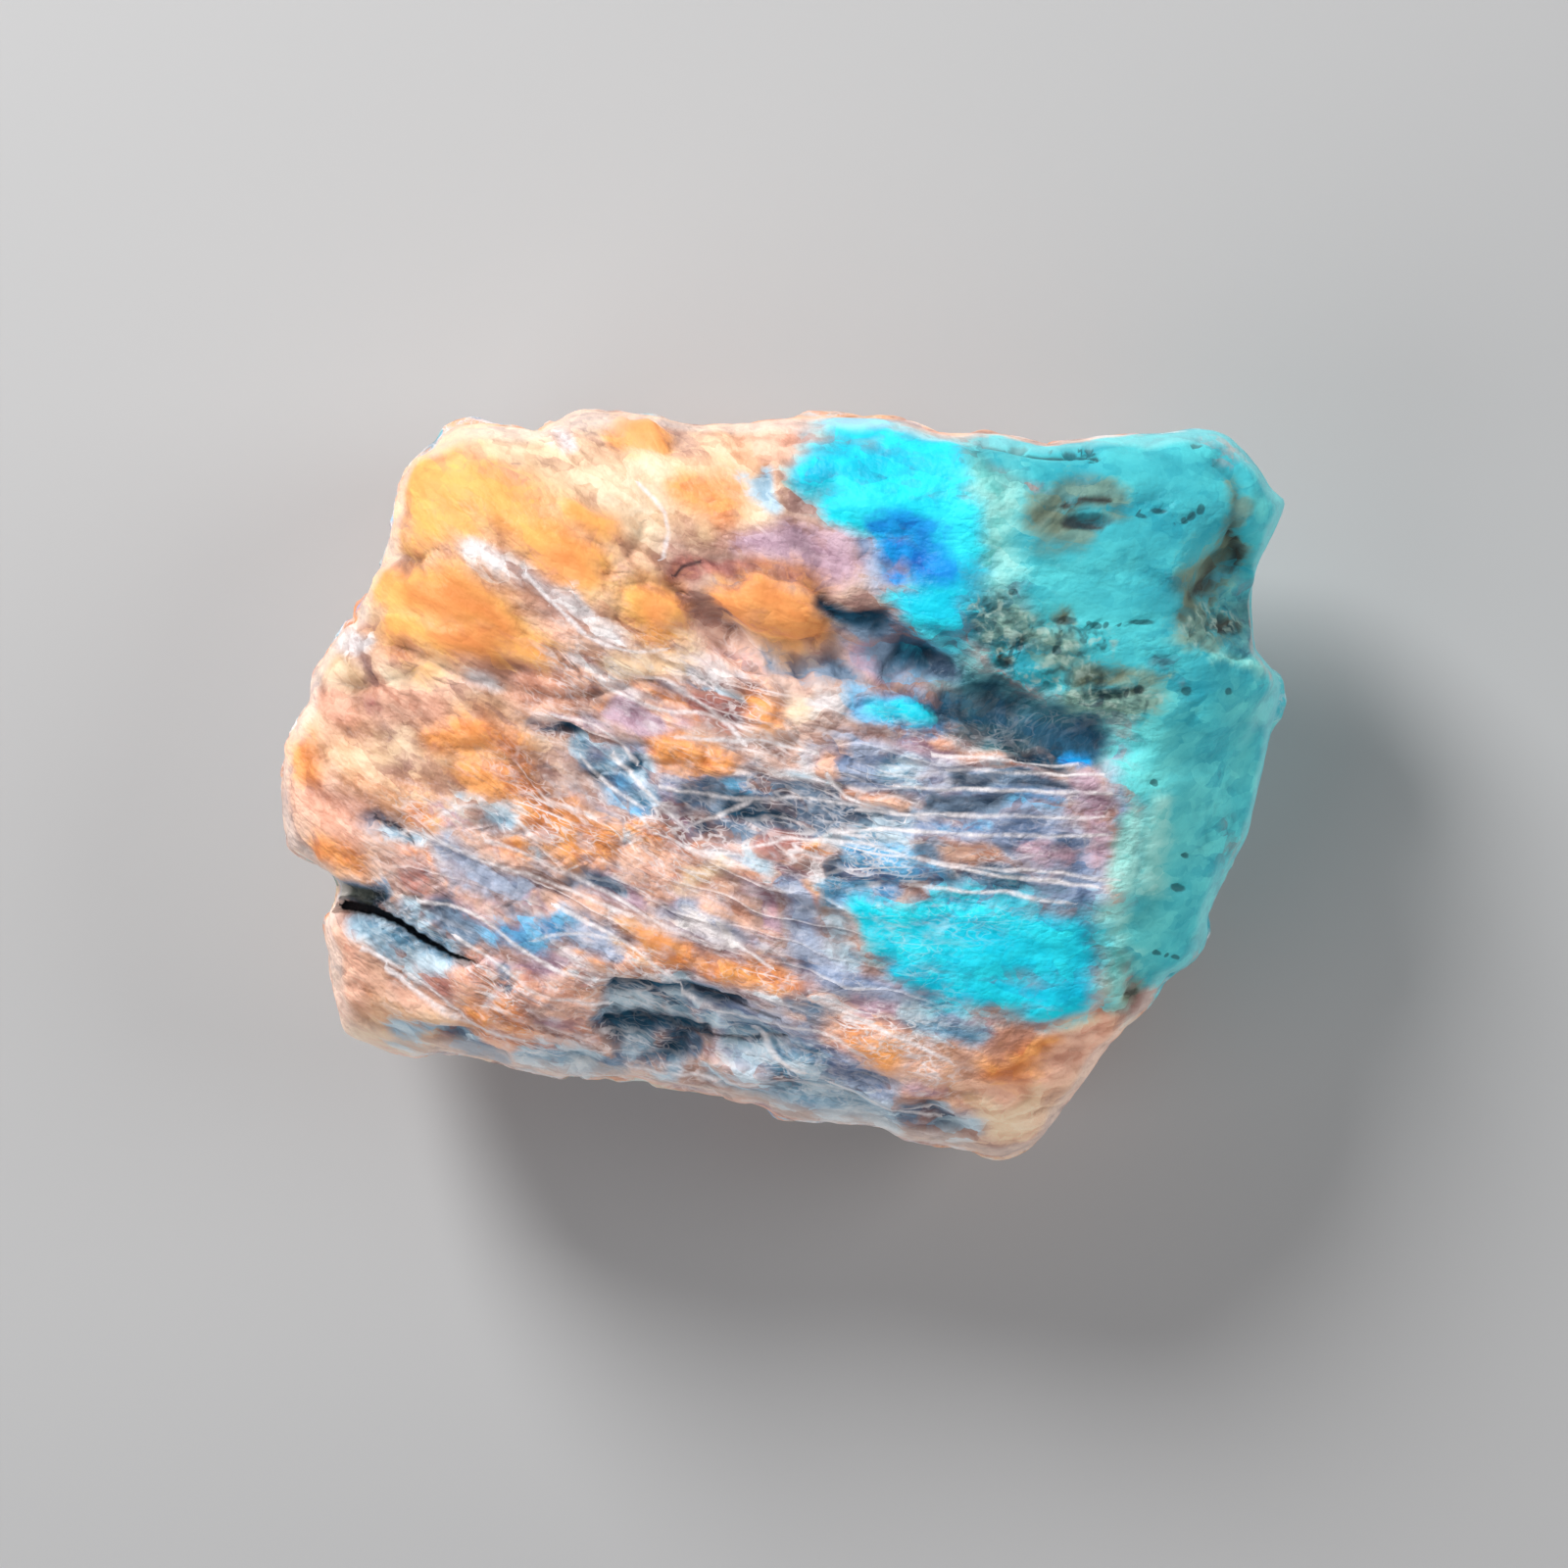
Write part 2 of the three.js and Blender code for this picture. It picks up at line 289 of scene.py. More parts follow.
def broad_relief(x, y):
    """How far the face stands above or below its plain dome: the swells less the ledge's groove."""
    ledge = nearest_on_line(x, y, LEDGE)[0] / LEDGE_HALF
    return sum(swell_height(x, y, swell) for swell in SWELLS) - LEDGE_DEPTH * np.exp(-(ledge**2))


def body_skin():
    """The stone's skin without its fine relief, a row for each turn and a column for each place."""
    out, up, level = (part[:, None] for part in section(turns))
    notched = ((1 - level**2) ** 2)[..., None]
    edge = soft_rim * (1 - notched) + rim * notched
    flat = (edge - HEART) * out[..., None]
    points = np.concatenate([flat, np.broadcast_to(up, edge.shape[:2])[..., None]], axis=2)
    for facet in FACETS:
        points = draw_behind(points, facet)
    x, y, z = points[..., 0] + HEART[0], points[..., 1] + HEART[1], points[..., 2]
    fade = smoothstep(z / FACE_RISE, 0, RELIEF_STARTS)
    risen = np.maximum(z + fade * broad_relief(x, y), LEAST_RISE * z)
    wander = RIM_WANDER * out**2 * np.sin(2 * np.arctan2(edge[..., 1], edge[..., 0]) + RIM_TURN)
    height = RIM_HEIGHT + np.where(turns[:, None] < math.pi / 2, risen, z) + wander
    return np.stack([x, y, np.maximum(height, 0)], axis=2)


def facing(points):
    """Unit vectors out of the skin: the step down the net crossed with the step round it."""
    down = np.gradient(points, axis=0)
    around = np.roll(points, -1, axis=1) - np.roll(points, 1, axis=1)
    out = np.cross(down, around)
    return out / np.linalg.norm(out, axis=2, keepdims=True)


skin = body_skin()
plain_facing = facing(skin)
middle = (skin.reshape(-1, 3).min(axis=0) + skin.reshape(-1, 3).max(axis=0)) / 2
skin[..., :2] += ((low + high) / 2 - middle)[:2]
print("the plain body spans", np.round(np.ptp(skin.reshape(-1, 3), axis=0), 1), "mm")

# %% [markdown]
# ## Seeded noise
# Everything irregular about the stone comes from one smooth noise. It is seeded, so each run gives the
# same stone. Summing it at finer and finer sizes gives a rough break, because rock is rough at every
# size.

# %% Noise
SEED = 11
DIRECTIONS = 256
NOISE_GAIN = 1.7
HEIGHT_POWER = 0.7

# Where each use of the noise starts in the run of seeds
SEEDS = {"wobble": 20, "sides": 40, "shake": 100, "swells": 130, "rubble": 150, "clouds": 220,
         "folds": 240, "sheets": 260, "ledges": 270, "lenses": 300}


def smooth_noise(places, seed):
    """Noise of about -1 to 1 with one bump a unit. Each corner of the unit cell round a place has a
    random direction, dotted with the step from the corner, and 6t^5 - 15t^4 + 10t^3 blends the eight."""
    source = np.random.default_rng([SEED, seed])
    shuffle = source.permutation(DIRECTIONS)
    ways = source.normal(size=(DIRECTIONS, 3))
    ways /= np.linalg.norm(ways, axis=1, keepdims=True)
    cell = np.floor(places).astype(int)
    inside = places - cell
    blend = inside**3 * (inside * (inside * 6 - 15) + 10)
    total = 0
    for corner in np.ndindex(2, 2, 2):
        mixed = 0
        for number in np.moveaxis(cell + corner, -1, 0):
            mixed = shuffle[(mixed + number) % DIRECTIONS]
        pull = np.sum(ways[mixed] * (inside - corner), axis=-1)
        total = total + pull * np.prod(np.where(corner, blend, 1 - blend), axis=-1)
    return NOISE_GAIN * total


def rough_noise(places, seed, sizes):
    """The sum of smooth noise at each size, each as tall as a power of its size, over the sum of
    those heights."""
    heights = np.array(sizes) ** HEIGHT_POWER
    noises = (smooth_noise(places / size, seed + i) for i, size in enumerate(sizes))
    return sum(height * noise for height, noise in zip(heights, noises)) / heights.sum()


print(len(SEEDS), "uses of the noise have seeds of their own")

# %% [markdown]
# ## The grain of the rock
# The minerals lie in layers. Seen on the face the layers fall to the right on the left side and level
# out on the right side. A place is therefore also given as "along, across and through" the layers, and
# anything stretched along the first of these follows the grain.

# %% Grain places and places on the face
# The fall of the layers at the left, where they level out and how gently, and their lean in depth
GRAIN_SLOPE = 0.5
GRAIN_BENDS_AT = 1.0
GRAIN_BEND = 6.0
GRAIN_LEAN = 0.25

# A place on the face is where the line from the eye meets the level of the rim
x, y, z = np.moveaxis(skin, -1, 0)
sight = (eye_height - RIM_HEIGHT) / (eye_height - z)
plan_x, plan_y = x * sight, y * sight
layer = y - GRAIN_SLOPE * GRAIN_BEND * np.logaddexp(0, (GRAIN_BENDS_AT - x) / GRAIN_BEND)
grain = np.stack([x, layer + GRAIN_LEAN * (z - RIM_HEIGHT), z], axis=-1)
print("layers lie from", np.round(layer.min()), "to", np.round(layer.max()), "mm")

# %% [markdown]
# ## Where each mineral shows
# The real stone is a patchwork: feldspar glows amber and orange, sodalite glows blue where the light
# soaks in, and a skin of altered rock is teal. Each patch is a stroke laid on the face, like a
# dab of paint: a run of places with a radius at each. Its value is 1 on the middle line and 0 at the
# radius, and the material breaks up that edge later. Strokes are better than one overall noise,
# because the places of the patches are what makes this stone this stone.

# %% Strokes of each mineral: x, y and radius in millimetres
STROKES = {
    "peach": [
        [(-31, 22, 5), (-24, 22, 7), (-15, 22, 6), (-8, 23, 5), (-3, 27, 3)],
        [(-31, 14, 4), (-22, 13, 5), (-12, 15, 4)],
        [(-37, 3, 5), (-34, -3, 4), (-26, 3, 5)],
        [(-36, -17, 3), (-27, -19, 3)],
        [(11, -22, 3), (17, -23, 5), (19, -26, 4), (24, -19.6, 3)],
    ],
    "rose": [
        # The trough across the block, the joints right of it and the skin below it
        [(-28.5, 19.4, 1), (-25, 19, 1.6), (-21, 17, 1.8), (-17.6, 14, 1.8), (-13.6, 11.6, 1.6)],
        [(-13.6, 16.6, 1.1), (-13.4, 13.4, 0.8)],
        [(-9.6, 19.4, 1.4), (-8.4, 17, 1.6), (-7.4, 13.4, 1.6), (-5.4, 11.6, 1.2)],
        [(-31, 11, 1.6), (-26, 9.2, 1.6), (-20.6, 8.8, 1.6)],
        [(-5, 20, 1.6), (0, 19.6, 2), (4, 18.6, 1.6)],
        [(-8.2, 7.4, 1.8), (-5.6, 6.4, 1.6)],
        [(-38, -1, 2), (-35, -2, 2.4), (-32, -6, 1.6)],
        [(-31, -16, 2.4), (-26, -16.6, 2.2), (-21, -15.6, 2), (-17, -17, 1.6)],
        [(-27, -21, 1.6), (-21, -22, 1.6)],
        [(11, 3.4, 1.6), (14.4, 3.2, 1.2)],
        [(14, -5.6, 1), (17.6, -5.8, 1)],
        [(25.6, 0, 1.4), (26.2, -4, 1.6), (26, -7.4, 1.2)],
        [(-2, -5.4, 1.6), (1.4, -5.4, 1.4)],
        [(2, 3, 1.6), (5, 2.8, 1.4)],
        [(19, -20.4, 1.4), (24, -20.4, 1.2)],
    ],
    "haze": [
        [(6.4, 19.6, 1.2), (8, 17, 1.3)],
        [(-16, 3, 1.2), (-13.4, 1.4, 1.4), (-11.6, -1, 1.2)],
        [(-10, -0.6, 1), (-6, -0.8, 1), (-3, -0.4, 0.8)],
        [(5, 1.6, 1.8), (8.6, 1.6, 2), (12, 0.6, 1.6)],
        [(12, 0.2, 1.8), (18, -0.6, 2), (24.6, -1, 1.6)],
        [(10, -3.6, 1.4), (16, -3.8, 1.8), (22, -4.8, 2.2), (24.6, -7, 1.4)],
        [(13, -8.4, 1.4), (19, -8.6, 1.6), (25, -9, 1.2)],
        [(0.6, -8.6, 1.4), (1.6, -12, 1.6), (2.6, -15.4, 1.4), (7, -17, 1.4), (12, -19.2, 1.6),
         (16.6, -20.8, 1)],
        [(-7, -10.6, 2), (-4.4, -12, 1.8)],
        [(-27.4, -5, 1.4), (-25.4, -7, 1.6), (-21.8, -8.4, 1.2)],
        [(-16.6, -12.4, 1.6), (-13.6, -13.6, 1.2)],
        [(-7, -17.4, 1.6), (-2, -20.6, 2.3), (3.6, -22.6, 2.4), (8, -24.6, 1.6)],
        [(26.8, 2.8, 1.3), (27.4, 0.6, 0.9), (27.4, -3, 0.6)],
    ],
    "sea": [
        [(15.5, 27.5, 2.5), (16.5, 21, 4), (16.5, 14.5, 3.6), (21, 10, 3.2), (28, 8, 2.6)],
        [(36, 18, 4), (37, 12, 4), (36, 4, 5), (35, -4, 5), (33, -12, 4)],
        [(12, 22, 3), (13, 15, 3)],
        [(24, 12, 4), (31, 11, 4), (34, 8, 4)],
        [(12.4, 11.4, 2), (14.6, 8.4, 2.6), (18, 6.4, 3.2), (22.6, 5.2, 3), (25.4, 4.2, 2)],
        # Under the blue mass and the pool
        [(4.4, 26, 3), (8, 25.4, 4), (13, 24.6, 4)],
        [(7.6, -11.8, 1.6), (13, -13.6, 3.4), (19, -14, 4), (23.6, -14.4, 3.6)],
    ],
    "rubble": [
        [(16.6, 14.4, 1.6), (19, 12.4, 2.2), (22.6, 12, 2.2), (26, 11.6, 1.6)],
        [(18, 9.4, 1.4), (22, 9, 1.6), (27, 7, 1.8), (30.6, 6.8, 1)],
        [(35.6, 14, 1.6), (34, 12.6, 1.4)],
    ],
    "mauve": [
        [(-3.4, 20, 0.9), (0.4, 19.4, 1.5), (4.4, 18.2, 1.5)],
        [(-28, -9.4, 0.9), (-26, -11.6, 1)],
        [(-14.6, -8.4, 1.2), (-12, -9.6, 1)],
        [(-9.8, -2, 1.2), (-8, -3.6, 1.2)],
        [(10, 3.4, 1), (13, 2.6, 1)],
        [(6.6, 11, 1), (9, 9.8, 1.1)],
        [(24.4, 0.6, 1), (25.8, -2.4, 1.1), (25.6, -6, 1)],
        [(-13, 6, 1.4), (-10.6, 5, 1.2)],
        [(-24, -14.8, 1), (-19, -15, 1)],
        [(5.4, -18.6, 1), (9, -19.8, 1)],
        [(20.4, -5.4, 1), (23, -6, 0.8)],
    ],
    "slate": [
        # The band below the eye and under the knob
        [(-1.4, 10.6, 0.8), (2, 9.8, 0.9), (5.4, 9.4, 1)],
        [(4.4, 13.8, 0.9), (7.6, 12.2, 1.2), (11, 10.6, 1.3), (13.4, 9, 0.9)],
        # The middle and the right centre
        [(-9, -2.2, 1.2), (-5, -1.6, 2), (-1.4, -2, 2.3), (2, -2.2, 2), (6, -2.8, 1.5), (9.4, -3, 1)],
        [(-6.8, -3.4, 1.2), (-3.6, -3.4, 1.3)],
        [(12, -1.6, 0.8), (17, -1.8, 0.8)],
        [(12, -7.9, 0.8), (17, -8.3, 0.9), (22.4, -8.6, 0.8)],
        [(14.6, 0, 0.8), (19.4, 0, 0.9), (22.6, -0.2, 0.7)],
        [(12, -5.4, 0.7), (15, -6.2, 0.8)],
        [(4.6, -6.8, 0.9), (5, -9.6, 1)],
        # The left side
        [(-33.8, -2.8, 0.7), (-31.6, -4.2, 0.9)],
        [(-20.6, 5.2, 0.4), (-18, 4.6, 0.5), (-16.4, 3.8, 0.5)],
        [(-16, 2, 0.8), (-14.2, 0.4, 1), (-12.4, -1.4, 0.9)],
        [(-27.6, -10, 0.9), (-25.6, -12, 0.9)],
        [(-17, -7.8, 0.8), (-14, -8.8, 0.8)],
        [(-36.6, -8.2, 0.9), (-33.6, -8.4, 0.8)],
        [(-22.6, -15.6, 0.6), (-22.4, -17, 0.5)],
        # The lower edge
        [(-15.4, -17.2, 0.7), (-12, -17.6, 0.9), (-8.6, -18, 0.9), (-4.6, -18.2, 0.7)],
        [(-14.8, -20.2, 0.6), (-11.6, -20.4, 0.9), (-8, -20.6, 0.7)],
        [(-13.4, -22, 0.7), (-10.4, -22.2, 0.9), (-7.4, -22, 0.6)],
        [(0.6, -17.8, 0.8), (3.4, -19.2, 0.8)],
        [(9.6, -26.6, 1), (12.6, -27, 1.2), (15.4, -27.6, 0.9)],
        [(-28, -20.9, 0.7), (-23, -21.9, 0.8)],
        [(-17, -22.6, 0.7), (-13.4, -23, 0.8)],
    ],
    "salmon": [
        [(-38, 7.4, 1.4), (-37, 5.6, 1.6)],
        [(-34, 7.2, 1.6), (-31.4, 6.6, 1.8), (-28.6, 6.6, 1.4)],
        [(-38.6, -1, 2), (-36, -3, 2.4)],
        [(-20.6, 8, 1.6), (-17, 7.4, 1.6)],
        [(-18.8, 11.4, 1.2), (-18, 13.6, 1)],
        [(-1.8, 28.4, 1.6), (1.6, 28.2, 1.2)],
        [(-23.6, -4.8, 1), (-21.6, -6, 1)],
        [(-19, -9.4, 1), (-15.6, -10.6, 1.2)],
        [(-36, -13, 1.4), (-35.4, -17, 1.8)],
        [(-29.4, -16, 1.6), (-25.4, -16.8, 1.6)],
        [(-20, -16.8, 1.4), (-16.5, -17.6, 1.2)],
        [(4, -20.4, 1.2), (8, -22, 1.6), (12, -22.6, 1.8)],
        [(15, -22.6, 2.4), (20, -23, 3.4), (23.4, -21, 2.8), (26, -17.6, 1.4)],
        [(-24, -20.4, 0.8), (-19, -21.6, 0.9)],
        [(15, -26, 1.8), (19, -26.6, 2.4)],
        [(-12, -6, 1.2), (-8, -7.2, 1.4), (-5, -8.4, 1.2)],
        [(-6, -9.6, 1), (-3, -10.4, 1)],
        [(14.4, -5.6, 0.8), (17, -5.8, 0.8)],
        [(4, 2.4, 0.9), (3.6, 1, 0.8)],
        [(5, -0.6, 0.5), (7, -1, 0.6), (9.4, -1.5, 0.5)],
        [(13.2, 3.6, 0.7)],
    ],
    "red": [
        [(-9, 17.1, 0.6), (-7.4, 17.8, 0.7)],
        [(-6, 18.3, 0.5), (-3, 18.2, 0.6), (0.2, 17.4, 0.6), (2.4, 16.4, 0.5)],
        [(-7, 6.6, 1), (-4.8, 6, 1.1)],
        [(-31, -7.2, 0.9), (-29.2, -7.6, 0.9)],
        [(-10.6, 2.6, 0.8), (-9, 2.8, 0.7)],
        [(-1.6, -5, 0.8), (0.8, -4.8, 0.8)],
        [(-29, -15.6, 0.8), (-27.4, -16.6, 0.7)],
        [(-20.4, -15.8, 0.8)],
        [(-34, 6.6, 0.7)],
    ],
    "cream": [
        # The top of the block and the bands to its right
        [(-28.6, 27.2, 1.2), (-24.5, 28, 1.5), (-21, 27, 1.5)],
        [(-20.5, 25.9, 1.3), (-17.6, 25.4, 1.7), (-13.8, 24.4, 2.1), (-9.8, 23.2, 1.8)],
        [(-13.4, 21.8, 1.4), (-11.4, 20.4, 1.6), (-10.4, 21.4, 1.2)],
        [(-6.4, 21, 1), (-5.6, 26.4, 1.2), (-2.6, 23, 1.4)],
        # The left edge and the lobe
        [(-33.6, 14.2, 0.9)],
        [(-36.6, 10, 1.2), (-35.6, 8.8, 1)],
        [(-31.6, 9.4, 1), (-28.6, 9.6, 1)],
        [(-34.6, 3.2, 1), (-33, 2.6, 1.2), (-31.4, 3.4, 1)],
        [(-34, -20.4, 0.9), (-29, -20.8, 0.9)],
        # The middle
        [(-14, 9.4, 1), (-10.4, 10, 1.3), (-7.6, 10.6, 1)],
        [(1, 6.4, 0.8), (2.6, 6.8, 0.7)],
        [(-7.4, -7.6, 0.9), (-5.4, -6.6, 0.8)],
        # The lower right corner
        [(15, -25.6, 0.6), (17.4, -27.8, 1.1), (20.4, -26, 0.8)],
        [(23.4, -19.4, 0.6), (24.6, -19, 0.7)],
    ],
    "amber": [
        # The block, above and below its trough
        [(-29.6, 24.4, 2.4), (-26, 24.4, 3), (-21.5, 23.2, 2.8)],
        [(-29.5, 21.6, 2.2), (-26.5, 21.4, 1.6)],
        [(-20.6, 20.8, 1.8), (-18.2, 19, 2.2), (-16.4, 17, 1.6)],
        [(-32, 16, 1.6), (-27.5, 15.3, 2.6), (-23.5, 13.3, 2.2)],
        [(-32.2, 13.4, 1.2), (-28, 11.6, 1.8), (-23.2, 11, 1.6), (-20, 10.8, 1.2)],
        # The bump, the cells and the eye
        [(-13.6, 29.2, 0.8), (-11.6, 28.8, 1), (-9.8, 28.4, 0.8)],
        [(-16.5, 22, 1), (-14.6, 20.6, 1.2)],
        [(-12, 14.6, 1.5), (-9.6, 13.9, 1.9)],
        [(-4.4, 15.5, 1.3), (-1.6, 15.1, 2.1), (1, 14, 2.4)],
        # Lenses further down
        [(-25.6, 4.4, 0.9)],
        [(-12.6, -11.8, 1.1), (-10, -13, 1.1)],
    ],
    "orange": [
        [(-30, 16, 1), (-27.4, 15.8, 1.6), (-24.8, 14.4, 1.5), (-22.8, 12.6, 1.2)],
        [(-28.4, 12.4, 0.9), (-24, 11.6, 1)],
        [(-18.4, 19, 1), (-17, 17.6, 1.3)],
        [(-13.4, 29, 0.7), (-11.4, 28.7, 0.9), (-9.8, 28.2, 0.6)],
        [(-10.4, 14.2, 1.1)],
        [(-4.4, 15.5, 0.9), (-1.6, 15.2, 1.5), (1, 14.2, 1.9), (2.8, 12.9, 1.2)],
        [(-8, 24, 1), (-5.8, 23.4, 1.7), (-4.9, 22.2, 1.2)],
        [(-28.4, 4, 1), (-24.8, 4.4, 1.5), (-22.4, 3.4, 1.3), (-21, 1.6, 0.9)],
        [(-26, 1.4, 1.1), (-22.8, 0.6, 1.8), (-20.4, -0.4, 1.1)],
        [(-10.3, 2.4, 0.9), (-7, 1.7, 1.2), (-4.4, 1.4, 1)],
        [(-2.8, 7.6, 0.8), (-1.6, 6, 1)],
        [(-20.6, -1.8, 1.3), (-18, -3, 2.1), (-15.2, -4.4, 1.5), (-17.4, -5.8, 1.2)],
        [(-12.4, -3.6, 0.8), (-10.8, -4.2, 0.8)],
        [(-30, -2.2, 1), (-29, -3.4, 0.9)],
        [(-37.6, -5.2, 0.8), (-35.4, -5.6, 0.9)],
        [(-39.4, 2.6, 1.1), (-38.6, 1, 1)],
        [(16.6, -23.2, 0.8), (19, -23.4, 1.2), (21.6, -21.6, 0.9)],
        [(-25.6, -18.6, 0.8), (-24.2, -19.2, 0.7)],
        [(-22.4, -18.6, 0.9), (-21.4, -19.6, 0.8)],
        [(-11.4, -12.4, 0.9), (-8.4, -13.8, 1)],
        [(-6.4, -14.8, 1.1), (-3, -15.6, 1.3), (0.8, -16.4, 1.1)],
        [(5, -20.8, 0.8), (8, -22.4, 0.8)],
        [(-21.6, -4.6, 0.8)],
    ],
    "white": [
        [(-25, 18.9, 0.7), (-23, 17.9, 0.8)],
        [(-21.2, 16.8, 0.8), (-18.4, 15, 0.9), (-16.8, 13.8, 0.7)],
        [(-15.6, 12.2, 0.7), (-14.2, 11.6, 0.8)],
        # A painted glint on the top edge near the notch
        [(-18.6, 28.4, 0.6), (-17.4, 27.8, 0.5)],
        [(-25.4, 8.7, 0.9), (-23.8, 8.4, 0.8)],
        [(-36, 11.4, 0.8), (-34.4, 11.6, 0.7)],
        [(3.2, 7, 0.7), (5.2, 6.4, 0.8)],
        [(-4.8, 9.2, 0.9), (-6.8, 8.8, 0.7)],
        [(-7.6, -11.4, 0.9), (-4.4, -12.6, 0.9)],
        [(-35, 12, 0.6)],
    ],
    "frost": [
        [(-16.6, 3, 0.8)],
        [(-14.8, 1.7, 0.8)],
        [(-12.2, 0.9, 0.9)],
        [(-12, -0.9, 0.8)],
        [(-1.6, 26, 0.7), (-2.4, 24.4, 0.8), (-1.2, 22.8, 0.6)],
        [(-27.4, -0.8, 0.9), (-26, -1.8, 1)],
        [(-24.6, -2.2, 0.9), (-22.6, -2.8, 0.8)],
        [(-34.4, -11.4, 1), (-32, -12.2, 1.4), (-29, -13.6, 1.5), (-27.4, -14.6, 0.9)],
        [(-30.4, -9.4, 0.9), (-29, -10.6, 0.8)],
        [(-31.6, -4.8, 0.7), (-29.8, -5, 0.7)],
        [(-3.6, -20.8, 1.2), (-0.6, -22.4, 1.5), (2.4, -23.6, 1.2)],
        [(-6, -23.4, 0.8), (-2, -25.2, 1), (4, -26.4, 1), (8, -26.6, 0.9)],
        [(-14, -18.9, 0.8), (-11, -19.1, 0.7)],
        [(-8.6, -19.4, 0.9)],
        [(-6, -19.6, 0.7)],
        [(-12, -21.4, 0.6)],
        [(-31.6, -20.2, 0.8), (-26, -20.6, 0.7)],
        [(-20.6, -22.6, 0.9), (-16, -22.4, 0.7)],
        [(6, -27, 0.8), (9, -28, 0.8)],
        [(-9.4, -23.4, 0.6)],
        [(4, -9.6, 1.2), (4.4, -12.4, 1.3), (6, -14.8, 1)],
        [(7, -4.8, 0.9), (9.4, -4.9, 0.9)],
        [(8.4, 1.4, 1), (10.6, 0.9, 0.8)],
        [(12.4, -27, 1), (15, -28.4, 0.9)],
        [(10, -19, 0.9), (13, -20.2, 0.9), (16, -21, 0.7)],
    ],
    "sky": [
        [(-23.4, -12.4, 1), (-21, -12.6, 1.2), (-19, -11.8, 0.8)],
        [(7.4, 6.6, 1.4), (9.8, 6.2, 2), (12.2, 5.8, 1.3)],
        [(6.4, -6.4, 1), (9.6, -6.6, 1.4), (12.4, -7.4, 1)],
        [(5, -8.6, 0.9), (8.4, -8.6, 0.9)],
        [(-13.6, 0.2, 0.9)],
        [(-12.4, -1.8, 0.8)],
        [(18.4, -1.6, 0.8), (21.8, -1.9, 1)],
        [(13, -3.6, 0.5), (17, -3.7, 0.5)],
        [(-3.6, -0.8, 0.7), (-1.4, -1.2, 0.7)],
    ],
    "navy": [
        [(3.4, 15.2, 0.6), (6, 13.8, 0.7), (7.6, 12.8, 0.6)],
        [(9.4, 11.2, 0.6), (11.4, 10.2, 0.7)],
        [(13, 6.4, 1.3), (16.5, 5.7, 2.2), (19.8, 5.1, 2.2), (22.6, 4.2, 1.8), (25, 3.8, 1.2)],
        [(19.4, 2.6, 0.9), (22.4, 2.4, 1.1)],
        [(-13.6, -20.3, 0.4), (-10.6, -20.4, 0.6), (-6.6, -20.7, 0.5)],
        [(-14, -17.2, 0.4), (-11, -17, 0.5), (-7.6, -17.5, 0.5), (-3.6, -18.4, 0.4)],
        [(-11.4, -22.2, 0.5), (-8.6, -22.2, 0.4)],
        [(-35.6, -8.8, 0.8), (-33.4, -9.2, 0.6)],
        [(-4, -2.4, 0.9), (-1.4, -2.2, 1), (0.8, -2.4, 0.8)],
        [(-18.4, 4.6, 0.4), (-17, 4, 0.4)],
        [(-15.4, 0.9, 0.6)],
        [(-13, 1.4, 0.5)],
    ],
    "teal": [
        [(18, 27, 3), (24, 26, 4), (32, 26, 4), (38, 24, 4)],
        [(20.5, 20.5, 4), (26, 20.5, 5), (33, 20, 5), (39, 20, 4)],
        [(22.5, 14.5, 3.5), (30, 14.5, 4), (34, 13, 3.4)],
        [(34, 9, 3.4), (37, 6, 4), (38.5, 0, 4.5)],
        [(31, 8, 2.4), (32.4, 3, 4.2), (32.4, -3, 4.4), (32.4, -9, 4.4), (31.6, -14, 3.6)],
        [(18, 10, 1.5), (22, 9.5, 2), (28, 10, 2.5)],
    ],
    "aqua": [
        [(30.6, 5, 2.4), (31.6, -2, 3), (31.2, -9, 2.6), (30, -13.4, 2)],
        [(38, 23.4, 0.8), (38.9, 22.4, 1)],
        [(37.6, 6, 1.4), (38, 1, 1.2)],
    ],
    "mist": [
        [(14.4, 25.6, 1.8), (16.6, 23.6, 2.1), (17.2, 20.6, 2), (16.4, 17.4, 2)],
        [(28, -3, 0.5), (27.9, -8, 0.8)],
        [(27.2, -11, 1.2), (27.3, -15, 1.4), (27, -18, 1.1)],
        [(35.4, 10.2, 0.5), (38.4, 9.6, 0.7)],
        [(36.8, 16.8, 0.4)],
        [(30.4, -2, 0.9), (30.2, -8, 1.1)],
    ],
    "moss": [
        [(16.4, 14.6, 1.1), (17.2, 12.8, 1.4), (19.6, 13.4, 1.2)],
        [(20.6, 11.2, 1.4), (22.8, 10.6, 1.4), (22.6, 13.2, 1)],
        [(24.4, 7.4, 1.2), (27.6, 6.8, 1.3), (30.4, 6.8, 1)],
        [(24, 8.9, 0.6), (28, 8.7, 0.7), (31.6, 8.9, 0.5)],
        [(33.6, 13.2, 1.4), (36, 13, 1.6), (35.2, 11.8, 1)],
        [(20.4, 23, 1), (21.6, 21.4, 1.3), (24.4, 20.4, 0.7)],
        [(22.4, 24, 0.9), (25.6, 24.2, 0.8), (28, 23, 0.7)],
        # Painted shade: the dark band in the knob's crease
        [(36, 25.6, 0.3), (37.1, 24.2, 0.5), (37.2, 22.4, 0.6), (36.5, 20.6, 0.7)],
    ],
    "brown": [
        [(20.6, 22, 0.8), (22, 23, 0.7), (22.4, 21.5, 0.7)],
        [(36.4, 19.4, 0.9), (35.2, 17.4, 1.5), (33.4, 15.6, 1.3)],
        [(22.4, 13.6, 0.7)],
        [(24.6, 8.7, 0.5), (28, 8.8, 0.5)],
        [(29, -16.4, 0.8), (28.2, -17.8, 0.7)],
    ],
    "cyan": [
